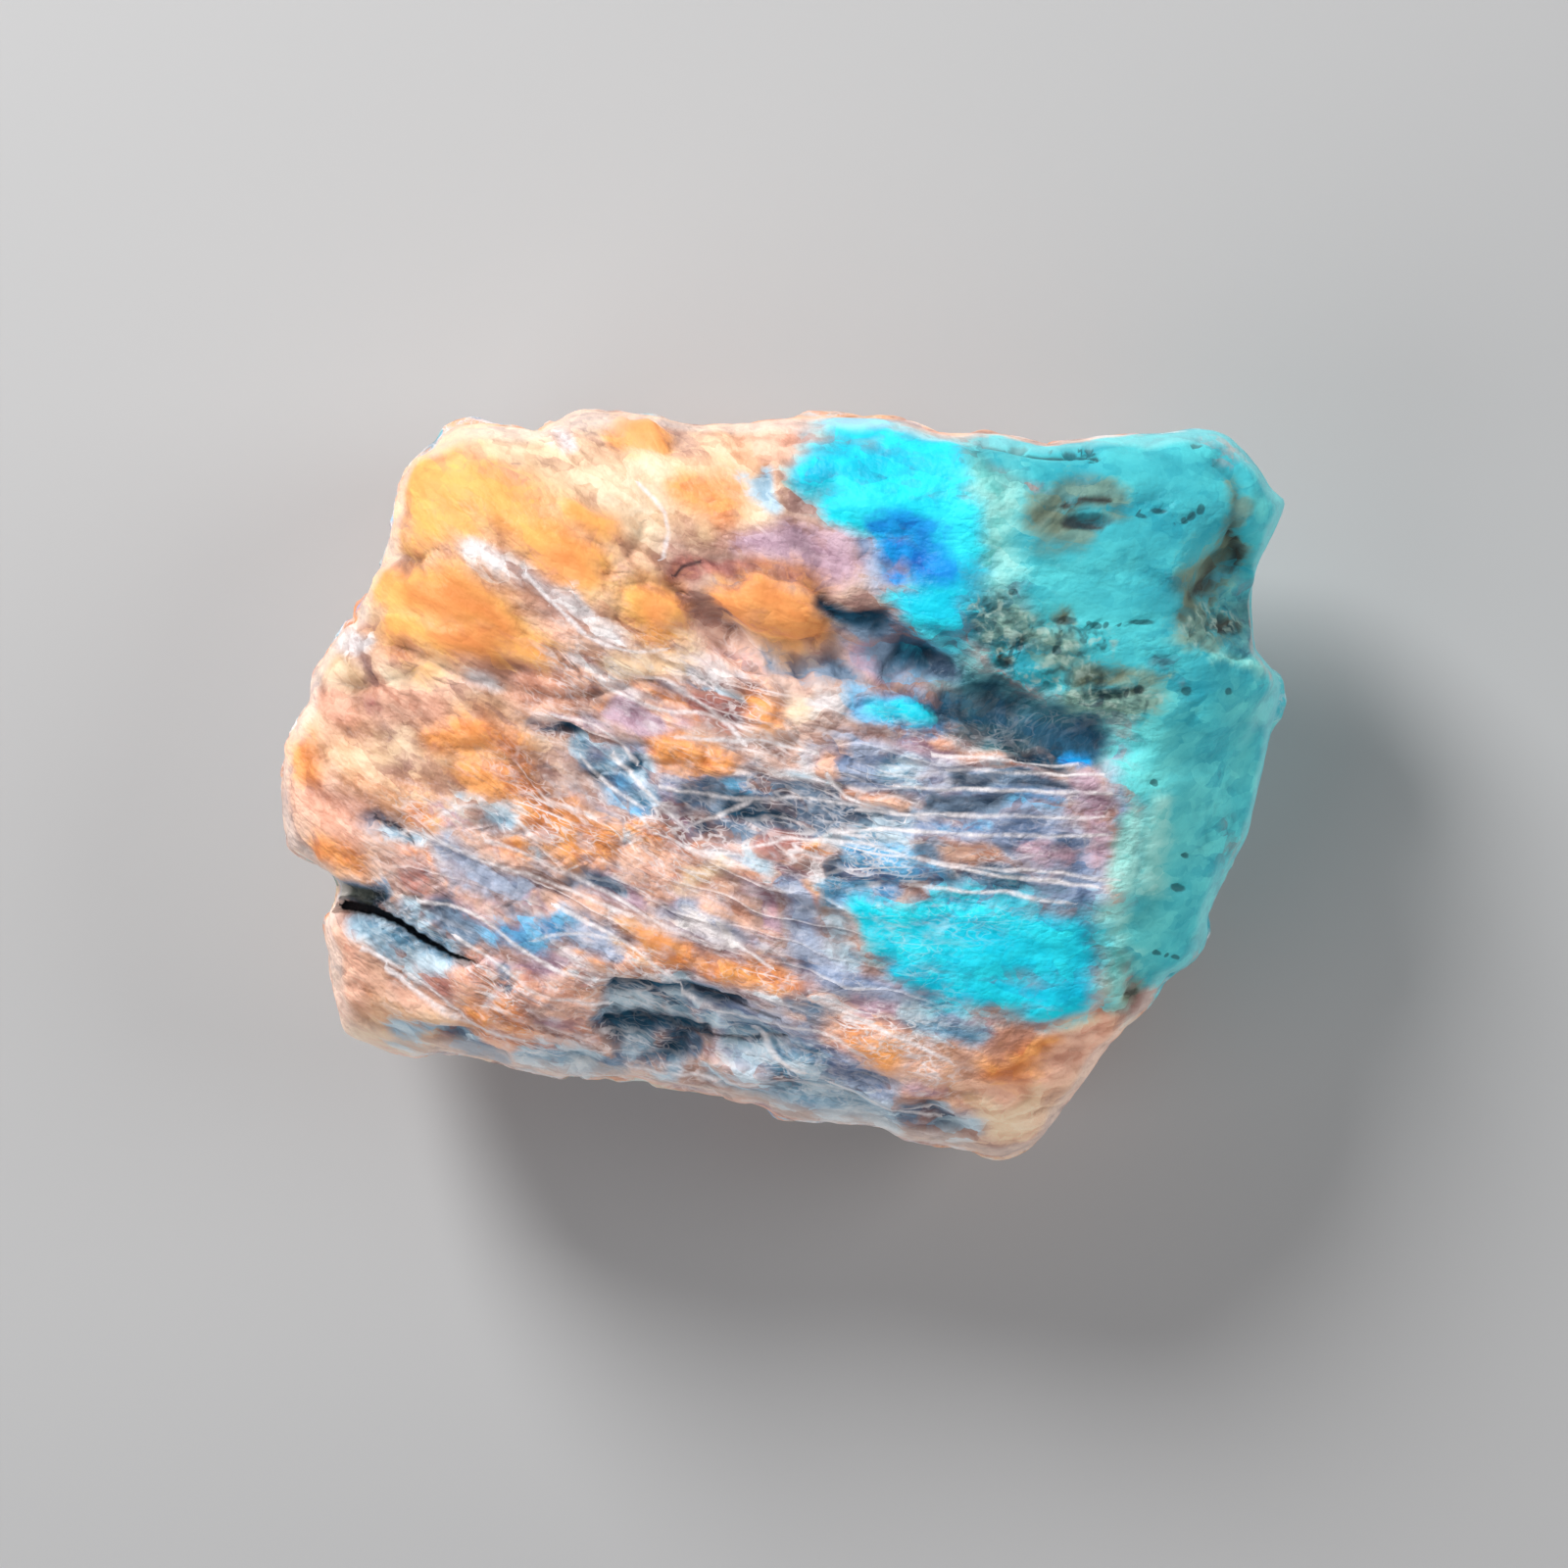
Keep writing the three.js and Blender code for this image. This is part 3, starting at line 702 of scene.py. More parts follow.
        [(2.8, 26, 2), (5.6, 26, 3.2), (9.6, 26, 3.6), (12.6, 26, 2.2)],
        [(4.4, 23, 1.6), (8, 22.8, 2), (12, 22.4, 1.8)],
        [(8, 29.4, 1.6), (4.6, 29.4, 1.4)],
        [(12.8, 21, 2.4), (13.6, 18, 2.6), (12.8, 15, 2.8)],
        [(10.8, 14.6, 1.9), (13.6, 13.8, 1.6)],
        [(8, 6.6, 0.8), (10, 6.2, 1), (11.6, 5.8, 0.6)],
        [(6.2, -10.6, 1), (8.6, -12.2, 2), (13, -13, 3), (19, -13.4, 3.6), (23.4, -13.8, 3)],
        [(9.4, -15.2, 1), (13.4, -16.8, 1.6), (18, -17.4, 1.8), (24, -16.8, 1.8)],
    ],
    "glow": [
        [(9, 28, 1), (12.4, 26.8, 1.2), (13, 24.4, 1.5), (13.8, 21.6, 1.4), (15, 19.4, 1.1)],
        [(11.4, 14.3, 1.5), (13.2, 14.8, 1.7)],
        [(9, -12.4, 0.9), (13, -13, 2), (18, -13.6, 2.6), (22.6, -14, 2)],
        [(5, 24.4, 1), (7.4, 23, 1.1)],
    ],
    "blue": [
        [(7.4, 21.4, 0.5), (9.6, 21.4, 0.9), (11.6, 20.4, 0.8)],
        [(8.6, 19.4, 1), (11.2, 18.6, 1.7), (13.6, 17.6, 1.2)],
        [(9, 17, 0.8)],
        [(23, 3.2, 0.3), (24.4, 2.6, 0.45)],
    ],
    "dark": [
        # Painted shade in the recess at the right end and under its ledge
        [(36.6, 19.8, 0.5), (36.9, 18, 0.5)],
        [(35.6, 17.2, 0.9), (34, 15.8, 0.8)],
        [(35, 13, 0.6), (36.4, 12.6, 0.6)],
        [(22.6, 23.2, 0.28), (24.6, 23.3, 0.34), (27, 23.2, 0.28)],
        [(23.4, 21.7, 0.5), (25.8, 21.5, 0.6)],
        [(18.2, 9.8, 0.9), (17.6, 10.6, 0.6)],
        [(19.4, 11.4, 0.5)],
        [(26.2, 7, 0.5)],
        [(29, 7.6, 0.5)],
        # Painted shade in a crack on the right edge and in the notch over the left crack
        [(28.6, -17.2, 0.6)],
        [(-37.1, -8.6, 0.6), (-34, -8.9, 0.6)],
    ],
    "web": [
        [(-26, -6, 8), (-10, -7, 11), (8, -4, 9), (20, -2, 7)],
        [(-22, -16, 6), (-5, -18, 8), (8, -21, 6), (12, -26, 3)],
        [(-16, 7, 5), (-4, 8, 4)],
    ],
}
NOWHERE = -2.0
EDGE_WOBBLE = 1.5
WOBBLE_SIZES = (4.0, 2.0, 1.0)
WOBBLE_STRETCH = (1.5, 1, 1.5)


def stroke_field(across, up, strokes):
    """1 on a stroke's middle line and 0 at its radius, never below NOWHERE: the greatest of
    1 - distance / radius over all stretches, the radius going evenly from one place to the next."""
    best = np.full(across.shape, NOWHERE)
    for stroke in strokes:
        for (x0, y0, r0), (x1, y1, r1) in zip(stroke[:-1] or stroke, stroke[1:] or stroke):
            length = max(math.hypot(x1 - x0, y1 - y0), 1e-6)
            along = ((across - x0) * (x1 - x0) + (up - y0) * (y1 - y0)) / length**2
            along = np.clip(along, 0, 1)
            distance = np.hypot(across - x0 - along * (x1 - x0), up - y0 - along * (y1 - y0))
            best = np.maximum(best, 1 - distance / (r0 + along * (r1 - r0)))
    return best


wobble = [EDGE_WOBBLE * rough_noise(grain / WOBBLE_STRETCH, SEEDS["wobble"] + 10 * i, WOBBLE_SIZES)
          for i in (0, 1)]
bent_plan = (plan_x + wobble[0], plan_y + wobble[1])
fields = {name: stroke_field(*bent_plan, strokes) for name, strokes in STROKES.items()}
for name, field in fields.items():
    print(f"{name:8} shows on {np.mean(field[:FACE_ROWS] > 0):.0%} of the face's points")

# %% [markdown]
# ## The sides and the back
# Only the face is known. A broken stone shows the same minerals all round, so out of sight each one
# shows where its own slow noise is high enough. The two descriptions blend at the rim, by height and
# by how far the skin has turned down, so no seam is left.

# %% Minerals out of sight: the size of the patches and how high the noise must be
OUT_OF_SIGHT = {
    "peach": (12, -0.1),
    "rose": (9, 0.1),
    "haze": (10, 0.1),
    "sea": (9, 0.6),
    "rubble": (6, 0.6),
    "mauve": (8, 0.1),
    "slate": (6, 0.16),
    "salmon": (9, 0),
    "red": (4, 0.6),
    "cream": (6, 0.25),
    "orange": (6, 0.16),
    "amber": (7, 0.22),
    "white": (4, 0.4),
    "frost": (5, 0.25),
    "sky": (5, 0.5),
    "navy": (5, 0.5),
    "blue": (4, 0.7),
    "teal": (7, 0.9),
    "aqua": (6, 0.7),
    "mist": (4, 0.5),
    "moss": (5, 0.6),
    "brown": (5, 0.55),
    "cyan": (8, 0.55),
    "glow": (5, 2),
    "dark": (4, 0.6),
    "web": (12, -0.4),
}
PATCH_EDGE = 2.2
PATCH_STRETCH = np.array([1.7, 1, 1.7])
TEAL_END = 30.0
TEAL_EDGE = 3.0
SIGHT_ENDS = (RIM_HEIGHT - 7, RIM_HEIGHT - 2)
FACING_ENDS = (0.0, 0.4)

in_sight = smoothstep(z, *SIGHT_ENDS) * smoothstep(plain_facing[..., 2], *FACING_ENDS)
for seed, (name, (size, least)) in enumerate(OUT_OF_SIGHT.items()):
    patches = rough_noise(grain / PATCH_STRETCH, SEEDS["sides"] + 3 * seed, (size, size / 2, size / 4))
    hidden = PATCH_EDGE * (patches - least)
    if name == "teal":
        hidden = np.maximum(hidden, (x - TEAL_END) / TEAL_EDGE + patches)
    fields[name] = np.clip(hidden * (1 - in_sight) + fields[name] * in_sight, NOWHERE, 1)
print("the face gives way to the sides between", SIGHT_ENDS, "mm above the floor")

# %% [markdown]
# ## Between the strokes
# In the layered part the strokes are only the larger lenses. Small ones of the same minerals fill the
# rock between them, long along the layers and thin across them. They keep off the large ones.

# %% Small lenses: size across the layers and how high the noise must be
SMALL_LENSES = {
    "salmon": (2.6, 0.05),
    "mauve": (2.4, 0.1),
    "slate": (2.0, 0.34),
    "orange": (2.2, 0.36),
    "white": (1.6, 0.36),
    "frost": (1.8, 0.38),
}
LENS_STRETCH = np.array([2.6, 1, 2.6])
LENS_EDGE = 2.4
LENS_TOP = 0.8
LAYERED = (0, 0.5)
KEEPS_OFF = (0.3, -0.3)
KEEPS_OFF_HAZE = (0.5, -0.3)
GROUNDS = ("peach", "rose", "haze", "sea", "web", "rubble")

layered = smoothstep(fields["web"], *LAYERED)
taken = np.maximum.reduce([field for name, field in fields.items() if name not in GROUNDS])
free = layered * smoothstep(taken, *KEEPS_OFF) * smoothstep(fields["haze"], *KEEPS_OFF_HAZE)
for seed, (name, (size, least)) in enumerate(SMALL_LENSES.items()):
    lumps = rough_noise(grain / LENS_STRETCH, SEEDS["lenses"] + 3 * seed, (size, size / 2))
    lenses = np.minimum(LENS_EDGE * (lumps - least), LENS_TOP)
    fields[name] = np.maximum(fields[name], lenses * free + NOWHERE * (1 - free))
print(f"small lenses may lie on {np.mean(free[:FACE_ROWS] > 0.5):.0%} of the face's points")

# %% [markdown]
# ## Clouds, folds and ledges
# No patch has one even colour, so three slow noises go with the mesh for the material to use. The
# break is lumpy: rounded grains meet in sharp creases. The size of a noise without its sign looks just
# like that, with a crease wherever the noise passes through nought, so three such noises are the folds.
# Where the layers end they leave ledges: across the layers the surface rises slowly, then drops at the
# edge of a sheet. The number of the sheet, with its fraction, tells how far a point is from the edge.

# %% Clouds, folds and ledges
CLOUD_SIZES = (5.0, 2.4, 1.2)
CLOUD_STRETCH = (1.6, 1, 1.6)
FOLD_SIZES = (4.2, 2.2, 1.2)
FOLD_STRETCH = (1.7, 1, 1.4)
FOLD_BEND = 0.5
LEDGE_SPACING = 3.0
LEDGE_BEND = 1.3
SHEET_SIZES = (6, 2.4, 1.2)
SHEET_STRETCH = (3, 1.3, 3)
LEDGE_SIZES = (6, 3)
LEDGE_STRETCH = (2, 1, 2)
LEDGES_COME = (-0.1, 0.35)
LEDGES_IN_WEB = (-0.2, 0.5)

clouds = {f"cloud_{i}": rough_noise(grain / CLOUD_STRETCH, SEEDS["clouds"] + 10 * i, CLOUD_SIZES)
          for i in range(3)}
bent_grain = grain / FOLD_STRETCH + FOLD_BEND * np.stack([*wobble, wobble[0]], axis=-1)
folds = [smooth_noise(bent_grain / size, SEEDS["folds"] + i) for i, size in enumerate(FOLD_SIZES)]
folds = np.stack(folds, axis=-1)
sheet_bend = LEDGE_BEND * rough_noise(grain / SHEET_STRETCH, SEEDS["sheets"], SHEET_SIZES)
sheet = grain[..., 1] / LEDGE_SPACING + sheet_bend
comes_and_goes = smoothstep(rough_noise(grain / LEDGE_STRETCH, SEEDS["ledges"], LEDGE_SIZES), *LEDGES_COME)
ledges = comes_and_goes * smoothstep(fields["web"], *LEDGES_IN_WEB)
print("there are", round(np.ptp(sheet)), "sheets from the lower to the upper edge")

# %% [markdown]
# ## Veins, dark lines and pits
# Thin pale veins run with the layers, and a few dark lines follow steps and gaps between them: along
# some steps and creases they are painted shade, in the gaps and joints dark rock. A line is far thinner
# than the net, so the net can't hold its colour. It can hold the distance to the line,
# positive on one side and negative on the other, because that changes evenly from point to point. The
# material then draws the line where the distance is nearly nought. Neighbouring lines go to different
# channels, so each point has the distance to one line in each channel.

# %% Places of the lines and pits
VEINS = [
    # Level veins at the right centre, from top to bottom
    [(12, 2.4), (20, 1.9), (24, 1.9)],
    [(13, 1.3), (18.9, 0.9), (26.3, 0.9)],
    [(8.7, -0.2), (16.2, -0.5), (27.4, -0.7)],
    [(5.5, -2.1), (10.9, -2.6), (17.2, -2.6), (26.9, -2.8)],
    [(4.4, -3.9), (10.9, -3.9), (19, -4.4), (26.9, -4.2)],
    [(3.4, -4.5), (7.7, -5.3), (15.1, -6.9), (22.6, -7.4), (27.4, -7.9)],
    [(11.4, -6.3), (17.8, -7.7), (26.3, -8.5)],
    [(10, -8.3), (16, -8.9), (24, -9.9)],
    [(3.4, 0.9), (5.5, -1.3), (9.8, -2.6)],
    # The middle, where they cross
    [(-10.5, -0.2), (-5.1, -1.3), (2.9, -1.3), (7.7, -2.3)],
    [(-9.4, -3.9), (-6.2, -2.9), (-2.5, -1.3)],
    [(-14.2, 2.5), (-10.5, -1.3), (-7.8, -3.9)],
    [(-19, 5.6), (-15, 4.4), (-12.2, 1.5)],
    [(-16.6, 2.3), (-14, -0.5), (-11.4, -2)],
    [(-14.5, 7.9), (-10, 6), (-6, 5.6), (-2.5, 4.1)],
    [(-9, 3.9), (-5, 3.6), (-1.5, 3.3), (3, 2.4)],
    [(-9.8, 8.6), (-5.4, 5.5), (-3, 3)],
    [(-3.5, -5.5), (0.5, -4.3), (5, -4.9)],
    # The left and the lower edge, falling to the right
    [(-29.8, -3.4), (-26.2, -1.8), (-23.4, -2.4)],
    [(-24.9, -4.5), (-19.5, -6.6), (-13.7, -9.3), (-10.5, -11.4), (-5.1, -13.5)],
    [(-29.7, -4), (-24.5, -6.3), (-19, -8.1), (-12.5, -10.8)],
    [(-19, -9.8), (-14.7, -11.9), (-11, -14.6), (-8.3, -16.7)],
    [(-8.3, -11.4), (-5.1, -12.5), (-0.9, -15.1)],
    [(-34.5, -13.5), (-30.2, -16.2), (-24.9, -19.9), (-21.1, -21)],
    [(-32.9, -15.1), (-28.6, -18.3), (-23.3, -20.5)],
    [(-30, -9.5), (-25.5, -10.5), (-21.5, -13.5), (-18, -15.5), (-13, -16.5)],
    [(-27, -12.5), (-24, -14.5), (-20, -17), (-14, -18.6)],
    [(-20.6, -12.9), (-17, -12.2), (-13.4, -12.9)],
    [(-3, -20.5), (-0.3, -23.1), (1.8, -23.7)],
    [(-8.5, -17.5), (-3.5, -19.4), (2, -20.2), (7, -22.6)],
    [(-13, -23), (-8, -23.9), (-2, -24.7)],
    [(1, -17.3), (5, -18.8), (10, -21.2), (14, -23)],
    [(3.5, -24.5), (8, -26.6), (13, -28)],
    # The trough across the amber block and the cream band above it
    [(-21.4, 17.4), (-19.3, 15), (-15.8, 12.1)],
    [(-18, 13.7), (-14.2, 11.2), (-9.5, 11)],
    [(-12, 24.8), (-9.5, 22), (-9.8, 18.4)],
]
VEIN_CHANNELS = 4

DARK_LINES = {
    "strong": [
        # The gash above the orange eye and the sliver near the lower edge
        [(-9, 17), (-8, 17.9), (-6.6, 18.4)],
        [(-8.4, -20.7), (-6.2, -20.9), (-3, -21.5), (0.2, -21.2)],
        [(-7.8, -17.3), (-4.1, -18.3), (-0.4, -19.4)],
        # The right end's top ledge and a line on the left lobe
        [(16.2, 27.9), (20.4, 27), (25.5, 26.9)],
        [(-33.9, -2.6), (-31.8, -3.6), (-30.4, -4.9)],
    ],
    "soft": [
        [(-6.6, 18.4), (-4, 18.7), (-1.4, 17.4), (1.4, 16.8), (3.8, 15.2)],
        # Painted shade under the step below the eye, along the lower edge of the block and in the ledge's
        # groove, and a groove in the amber lens
        [(-4.6, 12.4), (-1, 11.6), (2.6, 11.2)],
        [(-31.5, 11.4), (-26.5, 8.9), (-20.5, 7.4), (-15.5, 7.2), (-10.5, 8.7)],
        [(4, 9.2), (8, 8.4), (11, 7.4), (14, 4.2), (20, 3.4)],
        [(-27, 2.9), (-24.2, 3), (-22, 1.8), (-20, 0)],
        # Painted shade in the knob's crease and under the ledge below the recess
        [(35.4, 26.6), (37, 24.9), (37.2, 22.6), (36.5, 20.8), (36.8, 18.4)],
        [(32.4, 14.2), (33.4, 12.2), (34.8, 10.9), (37.9, 10.6)],
        # Joints between the amber cells
        [(-14.6, 17.4), (-12.2, 19.2), (-11.5, 21.6)],
        [(-13.6, 13.4), (-13.2, 16), (-10.4, 16.6), (-8, 15.6)],
        [(-28.2, 19.4), (-30.4, 18.6), (-32.4, 18.8)],
        [(-37, 8.6), (-33.6, 8.4), (-30.2, 9.4)],
    ],
}

CRACK = [(-38.5, -9.4), (-35.8, -9.6), (-33.7, -9.9), (-32.3, -10.2), (-30.6, -11), (-29, -12.2),
         (-27.4, -13), (-25.7, -13.8), (-24.1, -14.1)]
CRACK_WIDTH = 0.9
CRACK_DEPTH = 3.5

# Pits: place, half width and half height
PITS = [
    (19.1, 27.5, 0.8, 0.25), (23.3, 27.2, 0.6, 0.25), (24.9, 27.5, 0.4, 0.2), (25.4, 26.5, 0.55, 0.25),
    (33.7, 27.8, 0.5, 0.25), (30.7, 22.5, 0.7, 0.25), (34.2, 22.5, 0.35, 0.45), (32.9, 21.6, 0.35, 0.3),
    (24.8, 21.6, 2.1, 0.7), (18.7, 15.7, 0.4, 0.3), (23, 13.3, 1, 0.35), (25.5, 12.9, 0.5, 0.3),
    (29.3, 13.2, 1.1, 0.22), (19.1, 11.3, 0.5, 0.4), (17.9, 9.7, 0.9, 0.5), (22.3, 10.9, 0.4, 0.4),
    (26.3, 6.9, 0.6, 0.35), (29.1, 7.7, 0.45, 0.4), (32.9, 7.6, 0.4, 0.4), (36.2, 7.6, 0.35, 0.3),
    (30.3, 0.1, 0.3, 0.3), (33.1, -5.9, 0.3, 0.25), (32.3, -8.5, 0.45, 0.35), (30.6, -13.9, 0.35, 0.2),
    (31.9, -14.1, 0.3, 0.2),
]
STEPS_PER_VEIN_SPAN = 5
PAST_COUNTS = 3.0
FAR = 9.0
VEIN_WOBBLE = 0.35
VEIN_WOBBLE_SIZES = (2.2, 0.9)
VEIN_WOBBLE_STRETCH = (2, 1, 2)


def smooth_line(line):
    """The line as short straight steps along a cubic through its places."""
    places = np.array([line[0], *line, line[-1]])
    t = np.linspace(0, 1, STEPS_PER_VEIN_SPAN, endpoint=False)[:, None]
    spans = [cubic(*four, t) for four in zip(places, places[1:], places[2:], places[3:])]
    return np.vstack([*spans, places[-1:]])


def line_channel(across, up, lines):
    """The distance to the nearest line with its side as sign, and without it. Past an end it counts
    PAST_COUNTS times, so a line tapers, and out of sight it is far."""
    nearest = np.full(across.shape, FAR)
    signed = nearest.copy()
    for line in lines:
        distance, side, past = nearest_on_line(across, up, smooth_line(line))
        distance = np.minimum(distance + PAST_COUNTS * past + FAR * (1 - in_sight), FAR)
        signed = np.where(distance < nearest, distance * side, signed)
        nearest = np.minimum(distance, nearest)
    return np.stack([signed, nearest, np.zeros_like(signed)], axis=-1)


def pit_channel(across, up):
    """The step from the nearest pit's middle in half widths and half heights, and its length."""
    steps = np.full((*across.shape, 2), FAR)
    nearest = np.full(across.shape, FAR)
    for at_x, at_y, half_x, half_y in PITS:
        step = np.stack([(across - at_x) / half_x, (up - at_y) / half_y], axis=-1)
        length = np.minimum(np.linalg.norm(step, axis=-1) + FAR * (1 - in_sight), FAR)
        steps = np.where((length < nearest)[..., None], step, steps)
        nearest = np.minimum(length, nearest)
    return np.concatenate([steps, nearest[..., None]], axis=-1)


shake = [VEIN_WOBBLE * rough_noise(grain / VEIN_WOBBLE_STRETCH, SEEDS["shake"] + 10 * i, VEIN_WOBBLE_SIZES)
         for i in (0, 1)]
bent_x, bent_y = plan_x + shake[0], plan_y + shake[1]
channels = {f"vein_{i}": line_channel(bent_x, bent_y, VEINS[i::VEIN_CHANNELS])
            for i in range(VEIN_CHANNELS)}
channels |= {f"dark_{name}": line_channel(bent_x, bent_y, lines) for name, lines in DARK_LINES.items()}
crack_half = CRACK_WIDTH / 2 * np.sqrt(np.clip((x - CRACK[-1][0]) / (CRACK[0][0] - CRACK[-1][0]), 0, 1))
channels["crack"] = line_channel(x, y, [CRACK])
channels["crack"][..., 2] = crack_half
channels["pit"] = pit_channel(plan_x, plan_y)
print(len(VEINS), "veins,", sum(map(len, DARK_LINES.values())), "dark lines and", len(PITS), "pits")

# %% [markdown]
# ## Fine relief
# Minerals break differently. Amber and orange grains stand proud, the dark ones have crumbled away,
# and the layers end in small steps. All of it is one height above the plain body, and each point moves
# by that height along the direction in which the body faces. Under the stone there is nearly none, so
# that it lies still.

# %% Heights of the minerals, the roughness and the net
HEIGHT_OF = {
    "slate": -0.35,
    "navy": -0.55,
    "white": -0.15,
    "frost": -0.25,
    "brown": -0.35,
    "orange": 0.3,
    "amber": 0.4,
    "salmon": 0.15,
    "cyan": 0.25,
    "mist": 0.15,
}
PROUD = (-0.15, 0.5)
ROUGH_SIZES = (8.0, 4.0)
ROUGH_HEIGHT = 0.9
FOLD_HEIGHTS = (0.8, 0.55, 0.25)
FOLD_MEAN = 0.42
TOP_ROOM = 1.5
SMOOTHER = {"teal": 0.8, "amber": 0.7, "cream": 0.4, "cyan": 0.6}
LEAST_CALM = 0.15
CALM_MARGIN = 0.2
RIM_CALM = 0.7
RIM_FACING = (0.75, 0.25)
RIM_HEIGHTS = (RIM_HEIGHT - 6, RIM_HEIGHT)
LEDGE_HEIGHT = 0.6
LEDGE_DROP = 0.3
RUBBLE_HEIGHT = 0.9
RUBBLE_SIZES = (1.6, 0.9)
RUBBLE_MARGIN = 0.3
GROOVE_WIDTH = 0.45
GROOVE_DEPTH = 0.55
PIT_DEPTH = 0.5
PIT_WALL = (1.3, 0.5)
CRACK_LIP = 0.45
STILL_BELOW = (0.2, 4.0)
LEAST_MOVE = 0.1
STEEP_FROM = (0.65, 0.35)
STEEP_TO = (0.02, 0.3)
STEEP_OUTSIDE = (0.9, 0.97)


def fine_height():
    """The folds, the layers' steps and each mineral's own height, less the grooves and pits."""
    inner = 1 - RIM_CALM * near_rim
    crumbled = np.clip(fields["rubble"] + RUBBLE_MARGIN, 0, 1)
    height = calm * inner * ((np.abs(folds) - FOLD_MEAN) @ FOLD_HEIGHTS)
    height += ROUGH_HEIGHT * inner * rough_noise(grain, SEEDS["swells"], ROUGH_SIZES)
    height += LEDGE_HEIGHT * ledges * (smoothstep(sheet % 1, 1 - LEDGE_DROP, 1) - sheet % 1)
    height += RUBBLE_HEIGHT * crumbled * rough_noise(grain, SEEDS["rubble"], RUBBLE_SIZES)
    height += sum(rise * smoothstep(fields[name], *PROUD) for name, rise in HEIGHT_OF.items())
    for name, channel in channels.items():
        if name.startswith("dark"):
            height -= GROOVE_DEPTH * np.exp(-((channel[..., 1] / GROOVE_WIDTH) ** 2))
    return height - PIT_DEPTH * smoothstep(channels["pit"][..., 2], *PIT_WALL)


upward = plain_facing[..., 2]
near_rim = smoothstep(upward, *RIM_FACING) * smoothstep(z, *RIM_HEIGHTS)
smooth = sum(share * np.clip(fields[name] + CALM_MARGIN, 0, 1) for name, share in SMOOTHER.items())
calm = np.clip(1 - smooth, LEAST_CALM, 1)
still = LEAST_MOVE + (1 - LEAST_MOVE) * smoothstep(z, *STILL_BELOW)
relief = fine_height()
stone = skin + (relief * still)[..., None] * plain_facing
open_share = smoothstep(channels["crack"][..., 1], crack_half + CRACK_LIP, crack_half)
stone[..., 2] -= CRACK_DEPTH * open_share
over = np.maximum(stone[..., 2] - high[2] + TOP_ROOM, 0)
stone[..., 2] = np.maximum(stone[..., 2] - over + TOP_ROOM * np.tanh(over / TOP_ROOM), 0)
steep = smoothstep(upward, *STEEP_FROM) * smoothstep(upward, *STEEP_TO)
steep *= smoothstep(section(turns)[0], *STEEP_OUTSIDE)[:, None]
print("the rough stone spans", np.round(np.ptp(stone.reshape(-1, 3), axis=0), 1), "mm")

# %% [markdown]
# ## From the net to a mesh
# The net's rows and columns become four-sided faces, and a fan closes each end. Every value that the
# material needs goes along as an attribute of the points.

# %% Mesh
def with_poles(values):
    """The net's values as one list, with the mean of the first and of the last row at its ends."""
    flat = values.reshape(-1, *values.shape[2:])
    return np.concatenate([values[:1].mean(axis=1), flat, values[-1:].mean(axis=1)])


def net_faces(rows, columns):
    """Faces turned outwards: four-sided ones between two rows, and a fan of triangles at each end."""
    here = 1 + np.arange(rows * columns).reshape(rows, columns)
    beside = np.roll(here, -1, axis=1)
    quads = np.stack([here[:-1], here[1:], beside[1:], beside[:-1]], axis=-1).reshape(-1, 4)
    last = rows * columns + 1
    top = np.stack([np.zeros(columns, int), here[0], beside[0]], axis=-1)
    bottom = np.stack([np.full(columns, last), beside[-1], here[-1]], axis=-1)
    return [*top.tolist(), *quads.tolist(), *bottom.tolist()]


def add_attribute(mesh, name, values):
    """Stores a number or a vector for each point, under a name that the material reads."""
    kind, key = ("FLOAT", "value") if values.ndim == 1 else ("FLOAT_VECTOR", "vector")
    layer = mesh.attributes.new(name, kind, "POINT")
    layer.data.foreach_set(key, np.ascontiguousarray(values, dtype=np.float32).ravel())


mesh = bpy.data.meshes.new("specimen_surface")
mesh.from_pydata((with_poles(stone) * MM).tolist(), [], net_faces(*stone.shape[:2]))
mesh.polygons.foreach_set("use_smooth", np.ones(len(mesh.polygons), dtype=bool))
others = {"grain": grain, "folds": folds, "steep": steep, "calm": calm, "relief": relief,
          "sheet": sheet, "ledges": ledges}
for name, values in {**fields, **channels, **clouds, **others}.items():
    add_attribute(mesh, name, with_poles(values))
mesh.update()
specimen = bpy.data.objects.new("specimen_surface", mesh)
bpy.context.scene.collection.objects.link(specimen)
print(len(mesh.vertices), "points and", sum(len(face.vertices) - 2 for face in mesh.polygons), "triangles")

# %% [markdown]
# ## A small language for materials
# A material is a net of nodes. Written out one by one they hide the idea, so numbers in the net get
# the usual signs: adding two of them places an Add node and gives back its result.

# %% Numbers in a material
material = bpy.data.materials.new("sodalite")
material.use_nodes = True
material.cycles.emission_sampling = "NONE"
nodes = material.node_tree.nodes
nodes.clear()


def add_node(kind, settings=(), **inputs):
    """Places a node, sets its settings first, then gives each input a number, a colour or a link.
    An input is named by its label, or by its place as "at_6" where labels repeat."""
    node = nodes.new(kind)
    for name, value in dict(settings).items():
        setattr(node, name, value)
    for name, value in inputs.items():
        key = int(name[3:]) if name.startswith("at_") else name.replace("_", " ")
        if isinstance(value, Number):
            value = value.socket
        if isinstance(value, bpy.types.NodeSocket):
            material.node_tree.links.new(value, node.inputs[key])
        else:
            node.inputs[key].default_value = value
    return node


